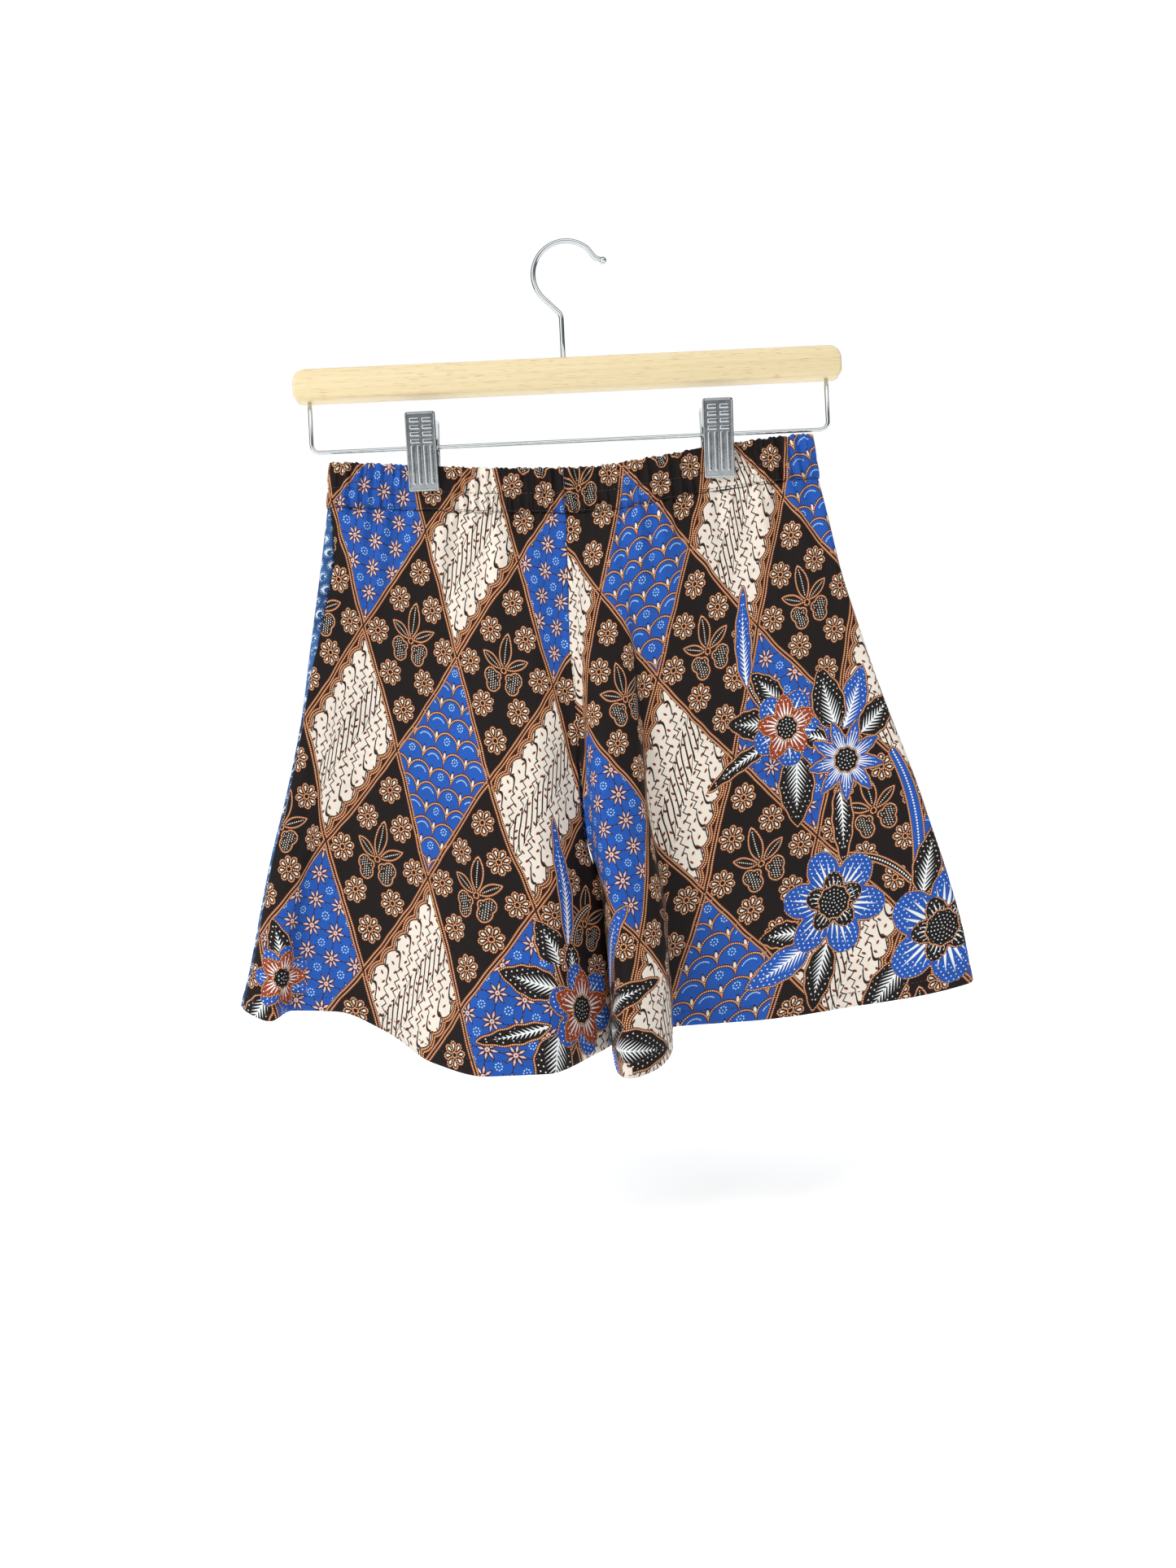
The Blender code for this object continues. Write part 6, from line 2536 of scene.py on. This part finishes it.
@dataclass
class Hanger:
    """The wooden bar with its hook and the wire rail that carries the clips."""

    middle: float = -2.5
    length: float = 353.0
    depth: float = 14.0
    height: float = 20.0
    top: float = -75.3
    top_corner: float = 8.5
    foot_corner: float = 5.0
    edge: float = 1.8
    hole_depth: float = 10.0
    hook_wire: float = 3.0
    hook_radius: float = 21.5
    stem_x: float = -4.5
    stem_bend_z: float = -46.0
    stem_bend_radius: float = 7.0
    shoulder: float = math.radians(34.0)
    before_tip: float = 0.25
    tip: tuple[float, float] = (24.0, -12.2)
    tip_bend: tuple[float, float, float] = (1.0, 0.0, -2.2)
    tip_bend_radius: float = 4.0
    tip_ball: float = 2.2
    rail_wire: float = 2.5
    rail_z: float = -128.0
    rail_half: float = 167.0
    rail_corner: float = 6.0
    end_clearance: float = 1.0
    hook_steps: int = 88  # round the hook's arc

    def build(self, wood: Material, steel: Material) -> None:
        """Make and dress the bar, the hook and the rail.

        Args:
            wood: the bar's finish.
            steel: the wires' finish.
        """
        dress(finished(self.bar(), "hanger_bar_wood", wood), "pale_wood", "hanger_bar")
        hook = tube(self.hook_line(), self.hook_wire / 2, 24)
        tip = Matrix.Translation((self.tip[0], 0.0, self.tip[1]))
        bmesh.ops.create_uvsphere(hook, u_segments=28, v_segments=18, radius=self.tip_ball, matrix=tip)
        dress(finished(hook, "hanger_hook_wire", steel), "chromed_steel", "hanger_hook")
        rail = tube(self.rail_line(), self.rail_wire / 2)
        dress(finished(rail, "hanger_rail_wire", steel), "chromed_steel", "hanger_rail")

    def bar(self) -> BMesh:
        """The bar, with its corners rounded and its edges eased.

        Returns:
            The bmesh, in millimetres.
        """
        bm = bmesh.new()
        middle = self.top - self.height / 2
        add_cube(bm, (self.length, self.depth, self.height), (self.middle, 0.0, middle))
        for upper, radius in ((True, self.top_corner), (False, self.foot_corner)):
            deep = [edge for edge in bm.edges if depth_along(edge) > self.depth / 2]
            ease(bm, [edge for edge in deep if (edge.verts[0].co.z > middle) == upper], radius, 10)
        rims = [e for e in bm.edges if e.calc_face_angle(0.0) > 1.0 and depth_along(e) < 0.1]
        ease(bm, rims, self.edge, 4)
        return bm

    def hook_line(self) -> list[Vector]:
        """The hook's middle line, from inside the bar up the stem, round the arc and to its tip.

        Returns:
            Its points.
        """
        centre, radius = (0.0, self.hook_wire / 2 - self.hook_radius), self.hook_radius
        bend = Vector((self.stem_x, 0.0, self.stem_bend_z))
        to_bend = Vector((bend.x - centre[0], bend.z - centre[1]))
        leave = math.atan2(to_bend.y, to_bend.x) - math.acos(radius / to_bend.length)
        foot = Vector((self.stem_x, 0.0, self.top - self.hole_depth + self.end_clearance))
        tip = Vector((self.tip[0], 0.0, self.tip[1]))
        start = self.shoulder + self.before_tip
        angles = (leave, self.shoulder, start)
        touch, shoulder, before = (on_circle(centre, radius, angle) for angle in angles)
        points = [foot] + rounded(foot, bend, touch, self.stem_bend_radius)
        turns = np.linspace(leave, start - 2 * math.pi, self.hook_steps + 1)
        points += [on_circle(centre, radius, angle) for angle in turns]
        points += rounded(before, shoulder + Vector(self.tip_bend), tip, self.tip_bend_radius, 8)
        points.append(tip)
        return [p for i, p in enumerate(points) if i == 0 or (p - points[i - 1]).length > 0.02]

    def rail_line(self) -> list[Vector]:
        """The rail's middle line, from one end of the bar to the other.

        Returns:
            Its points.
        """
        left, right = self.middle - self.rail_half, self.middle + self.rail_half
        top = self.top - self.height + self.hole_depth - self.end_clearance
        ends = [Vector((x, 0.0, top)) for x in (left, right)]
        corners = [Vector((x, 0.0, self.rail_z)) for x in (left, right)]
        points = [ends[0]] + rounded(ends[0], corners[0], corners[1], self.rail_corner)
        return points + rounded(corners[0], corners[1], ends[1], self.rail_corner) + [ends[1]]


@dataclass
class Clip:
    """One spring clip: two bent steel jaws and the coil spring round the rail."""

    side: Side
    middle: float
    width: float = 19.3
    height: float = 50.0
    plate: float = 1.2
    foot_z: float = -156.8
    tilt: float = math.radians(8.0)
    stand: float = 1.75 + 1.1 + 0.3  # half the casing where it is pressed, its folds, and room
    corner: float = 1.4
    lip_height: float = 2.6
    lip_depth: float = 1.3
    flange: float = 3.0
    flange_short: float = 4.0
    ear_height: float = 7.0
    ear_clearance: float = 0.35
    rail_z: float = -128.0
    rail_wire: float = 2.5
    relief: float = 0.9
    low: float = 0.45  # share of the relief that the rims have
    sink: float = 0.3  # how far a part starts inside the plate
    pressed_rows: int = 4
    block: tuple[float, float] = (6.6, 3.2)
    block_pitch: float = 4.4
    block_top: float = 5.4  # below the top of the jaw
    block_gap: float = 0.65  # half the gap between the two columns
    block_round: float = 0.85
    rib_width: float = 2.3
    rib_height: float = 25.0
    rib_pitch: float = 4.0
    rib_foot: float = 4.0
    rib_round: float = 0.8
    rim_width: float = 1.3
    rim_round: float = 0.4
    rim_in: float = 0.9  # from the end of the jaw to the middle of its rim
    rim_short: tuple[float, float] = (3.0, 3.2)  # what the rims are short of the jaw
    spring_radius: float = 2.95
    spring_wire: float = 0.9
    spring_turns: int = 11
    spring_steps: int = 22  # to a turn
    spring_length: float = 12.0
    spring_leg: tuple[float, float] = (5.5, 6.5)

    def build(self, steel: Material) -> None:
        """Make and dress the clip.

        Args:
            steel: its finish.
        """
        word = self.side.name.lower()
        for kind, stand, turn in (("front", -self.stand, 0.0), ("back", self.stand, math.pi)):
            bm = self.jaw()
            place = (
                Matrix.Translation((self.middle, stand, self.foot_z))
                @ Matrix.Rotation(turn, 4, "Z")
                @ Matrix.Rotation(self.tilt, 4, "X")
            )
            bmesh.ops.transform(bm, matrix=place, verts=bm.verts)
            piece = finished(bm, f"clip_{word}_{kind}_jaw_steel", steel, smooth=False)
            dress(piece, "chromed_steel", f"clip_{word}_{kind}_jaw")
        spring = self.spring()
        bmesh.ops.translate(spring, vec=(self.middle, 0.0, self.rail_z), verts=spring.verts)
        piece = finished(spring, f"clip_{word}_spring_coil", steel)
        dress(piece, "chromed_steel", f"clip_{word}_spring")

    def jaw(self) -> BMesh:
        """One jaw, standing on its lip at the origin with its inner face to +Y.

        Returns:
            The bmesh, in millimetres.
        """
        bm = bmesh.new()
        inner, middle = -self.lip_depth, self.height / 2
        add_cube(bm, (self.width, self.plate, self.height), (0.0, inner - self.plate / 2, middle))
        ease(bm, [edge for edge in bm.edges if depth_along(edge) > 0.1], self.corner, 4)
        ease(bm, [edge for edge in bm.edges if edge.calc_face_angle(0.0) > 1.0], 0.3, 2)
        lip, sunk = self.lip_depth + self.sink, inner - self.sink
        size = (self.width - 0.5, lip, self.lip_height)
        add_box(bm, size, (0.0, -lip / 2, self.lip_height / 2 + 0.35), 0.35)
        pivot = (self.rail_z - self.foot_z) / math.cos(self.tilt)
        to_rail = self.stand + pivot * math.sin(self.tilt) - self.rail_wire / 2 - self.ear_clearance
        reach = to_rail + lip
        flange = self.flange - self.lip_depth + self.sink
        tall = self.height - 2 * self.flange_short
        for side in (-1, 1):
            x = side * (self.width - self.plate - 0.3) / 2
            add_box(bm, (self.plate, reach, self.ear_height), (x, sunk + reach / 2, pivot), 0.35)
            add_box(bm, (self.plate - 0.2, flange, tall), (x, sunk + flange / 2, middle + 1.0), 0.3)
        self.press(bm, inner - self.plate + self.sink)
        return bm

    def press(self, bm: BMesh, start: float) -> None:
        """Raise the blocks, ribs and rims of a jaw's outside.

        Args:
            bm: the jaw.
            start: y where they start, inside its plate.
        """
        out, low = self.relief + self.sink, self.relief * self.low + self.sink
        y, y_low = start - out / 2, start - low / 2
        for row in range(self.pressed_rows):
            z = self.height - self.block_top - row * self.block_pitch
            for side in (-1, 1):
                x = side * (self.block[0] / 2 + self.block_gap)
                add_box(bm, (self.block[0], out, self.block[1]), (x, y, z), self.block_round)
        for column in range(self.pressed_rows):
            x = (column - (self.pressed_rows - 1) / 2) * self.rib_pitch
            size = (self.rib_width, out, self.rib_height)
            add_box(bm, size, (x, y, self.rib_foot + self.rib_height / 2), self.rib_round, 4)
        for side in (-1, 1):
            x = side * (self.width - self.rim_width) / 2
            size = (self.rim_width, low, self.height - self.rim_short[1])
            add_box(bm, size, (x, y_low, self.height / 2), self.rim_round)
        for z in (self.rim_in, self.height - self.rim_in):
            size = (self.width - self.rim_short[0], low, self.rim_width)
            add_box(bm, size, (0.0, y_low, z), self.rim_round)

    def spring(self) -> BMesh:
        """The coil round the rail, with its two legs that press the jaws' upper ends apart.

        Returns:
            The bmesh, in millimetres.
        """
        total = self.spring_turns * self.spring_steps
        points = []
        for i in range(total + 1):
            turn = 2 * math.pi * i / self.spring_steps
            x = (i / total - 0.5) * self.spring_length
            y, z = self.spring_radius * math.sin(turn), self.spring_radius * math.cos(turn)
            points.append(Vector((x, y, z)))
        y, z = self.spring_leg
        points = [points[0] + Vector((0.0, -y, z)), *points, points[-1] + Vector((0.0, y, z))]
        return tube(points, self.spring_wire / 2, 8)


# ---- The photograph's place: camera, floor and light


class Sky(Shader):
    """The light all round the object."""

    def __init__(self, name: str) -> None:
        """Start the scene's world.

        Args:
            name: the world's name.
        """
        world = bpy.data.worlds.new(name)
        world.use_nodes = True
        bpy.context.scene.world = world
        self.tree = world.node_tree
        self.surface = self.tree.nodes["Background"]


@dataclass(frozen=True)
class Lamp:
    """A soft square lamp: where it stands and its width, in metres, and its strength in watts."""

    name: str
    at: Size
    size: float
    power: float


@dataclass
class Studio:
    """A plain pale floor, soft light and the camera at the photograph's angle."""

    camera_at: Size = (-1.2, -850.0, -349.8)
    roll: float = math.radians(-2.65)
    frame_width: float = 760.0
    sensor: float = 36.0
    floor_z: float = -640.0
    floor_radius: float = 9.0
    aim: Size = (0.0, 0.0, -0.32)
    lamps: tuple[Lamp, ...] = (
        Lamp("key", (-1.3, -1.15, 0.75), 0.7, 19.5),
        Lamp("fill", (1.5, -1.3, 0.1), 1.3, 2.0),
        Lamp("above", (0.0, -0.3, 1.5), 1.5, 14.0),
        Lamp("behind", (0.6, 1.6, 0.5), 1.4, 11.0),
    )

    def build(self) -> None:
        """Set up everything round the object."""
        bpy.context.scene.view_settings.view_transform = "Standard"
        self.camera()
        self.sky()
        self.floor()
        for lamp in self.lamps:
            self.light(lamp)

    def camera(self) -> None:
        """Set up the camera."""
        data = bpy.data.cameras.new("camera")
        data.sensor_fit = "HORIZONTAL"
        data.sensor_width = self.sensor
        data.lens = self.sensor * -self.camera_at[1] / self.frame_width
        data.clip_start, data.clip_end = 0.01, 50.0
        camera = linked("camera", data)
        place = Matrix.Translation(Vector(self.camera_at) * MM) @ Matrix.Rotation(math.pi / 2, 4, "X")
        camera.matrix_world = place @ Matrix.Rotation(self.roll, 4, "Z")
        bpy.context.scene.camera = camera

    def floor(self) -> None:
        """Lay the floor."""
        bm = bmesh.new()
        place = Matrix.Translation((0.0, 0.0, self.floor_z * MM))
        bmesh.ops.create_circle(bm, cap_ends=True, segments=96, radius=self.floor_radius, matrix=place)
        place_object("floor", mesh_of(bm, "floor"), [PaleFloor().material()], smooth=False)

    def light(self, lamp: Lamp) -> None:
        """Add a lamp that looks at the garment's middle and that polished metal doesn't mirror.

        Args:
            lamp: the lamp.
        """
        data = bpy.data.lights.new(lamp.name, "AREA")
        data.shape, data.size, data.energy = "SQUARE", lamp.size, lamp.power
        made = linked(lamp.name, data)
        made.location, made.visible_glossy = lamp.at, False
        made.rotation_mode = "QUATERNION"
        made.rotation_quaternion = (Vector(self.aim) - Vector(lamp.at)).to_track_quat("-Z", "Y")

    def sky(self) -> None:
        """White all round to the eye; its light is dimmer in front and brighter above, as in a room,
        and polished metal mirrors bright sides and a grey front."""
        s = Sky("studio")
        across, back, up = s.split(s.node("ShaderNodeTexCoord").outputs["Generated"])
        light = up.scaled(0.34, 0.08).most(0.05) + across.scaled(-0.24, 0.0).clamp()
        light = light + abs(back).scaled(-0.16, 0.16)
        band = up.over(0.45, 0.2).most(across.under(-0.3, 0.25))
        mirrored = back.under(-0.25, 0.4) * band.scaled(1.5, 0.17) + 0.05
        rays = s.node("ShaderNodeLightPath").outputs
        seen, glossy = Value(s, rays["Is Camera Ray"]), Value(s, rays["Is Glossy Ray"])
        s.join(s.surface.inputs["Color"], ink(255, 255, 255))
        s.join(s.surface.inputs["Strength"], s.between(light.toward(mirrored, glossy), 1.0, seen))


def main() -> None:
    """Build and dress the object, piece by piece, and write its sizes."""
    logging.basicConfig(level=logging.INFO, format="%(message)s")
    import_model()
    Studio().build()
    steel = ChromedSteel().material()
    skort, hanger = Skort(), Hanger()
    skort.build()
    hanger.build(LacqueredWood().material(), steel)
    for side in Side:
        Clip(side, hanger.middle + side.value * skort.cut.clip_offset).build(steel)


if __name__ == "__main__":
    main()
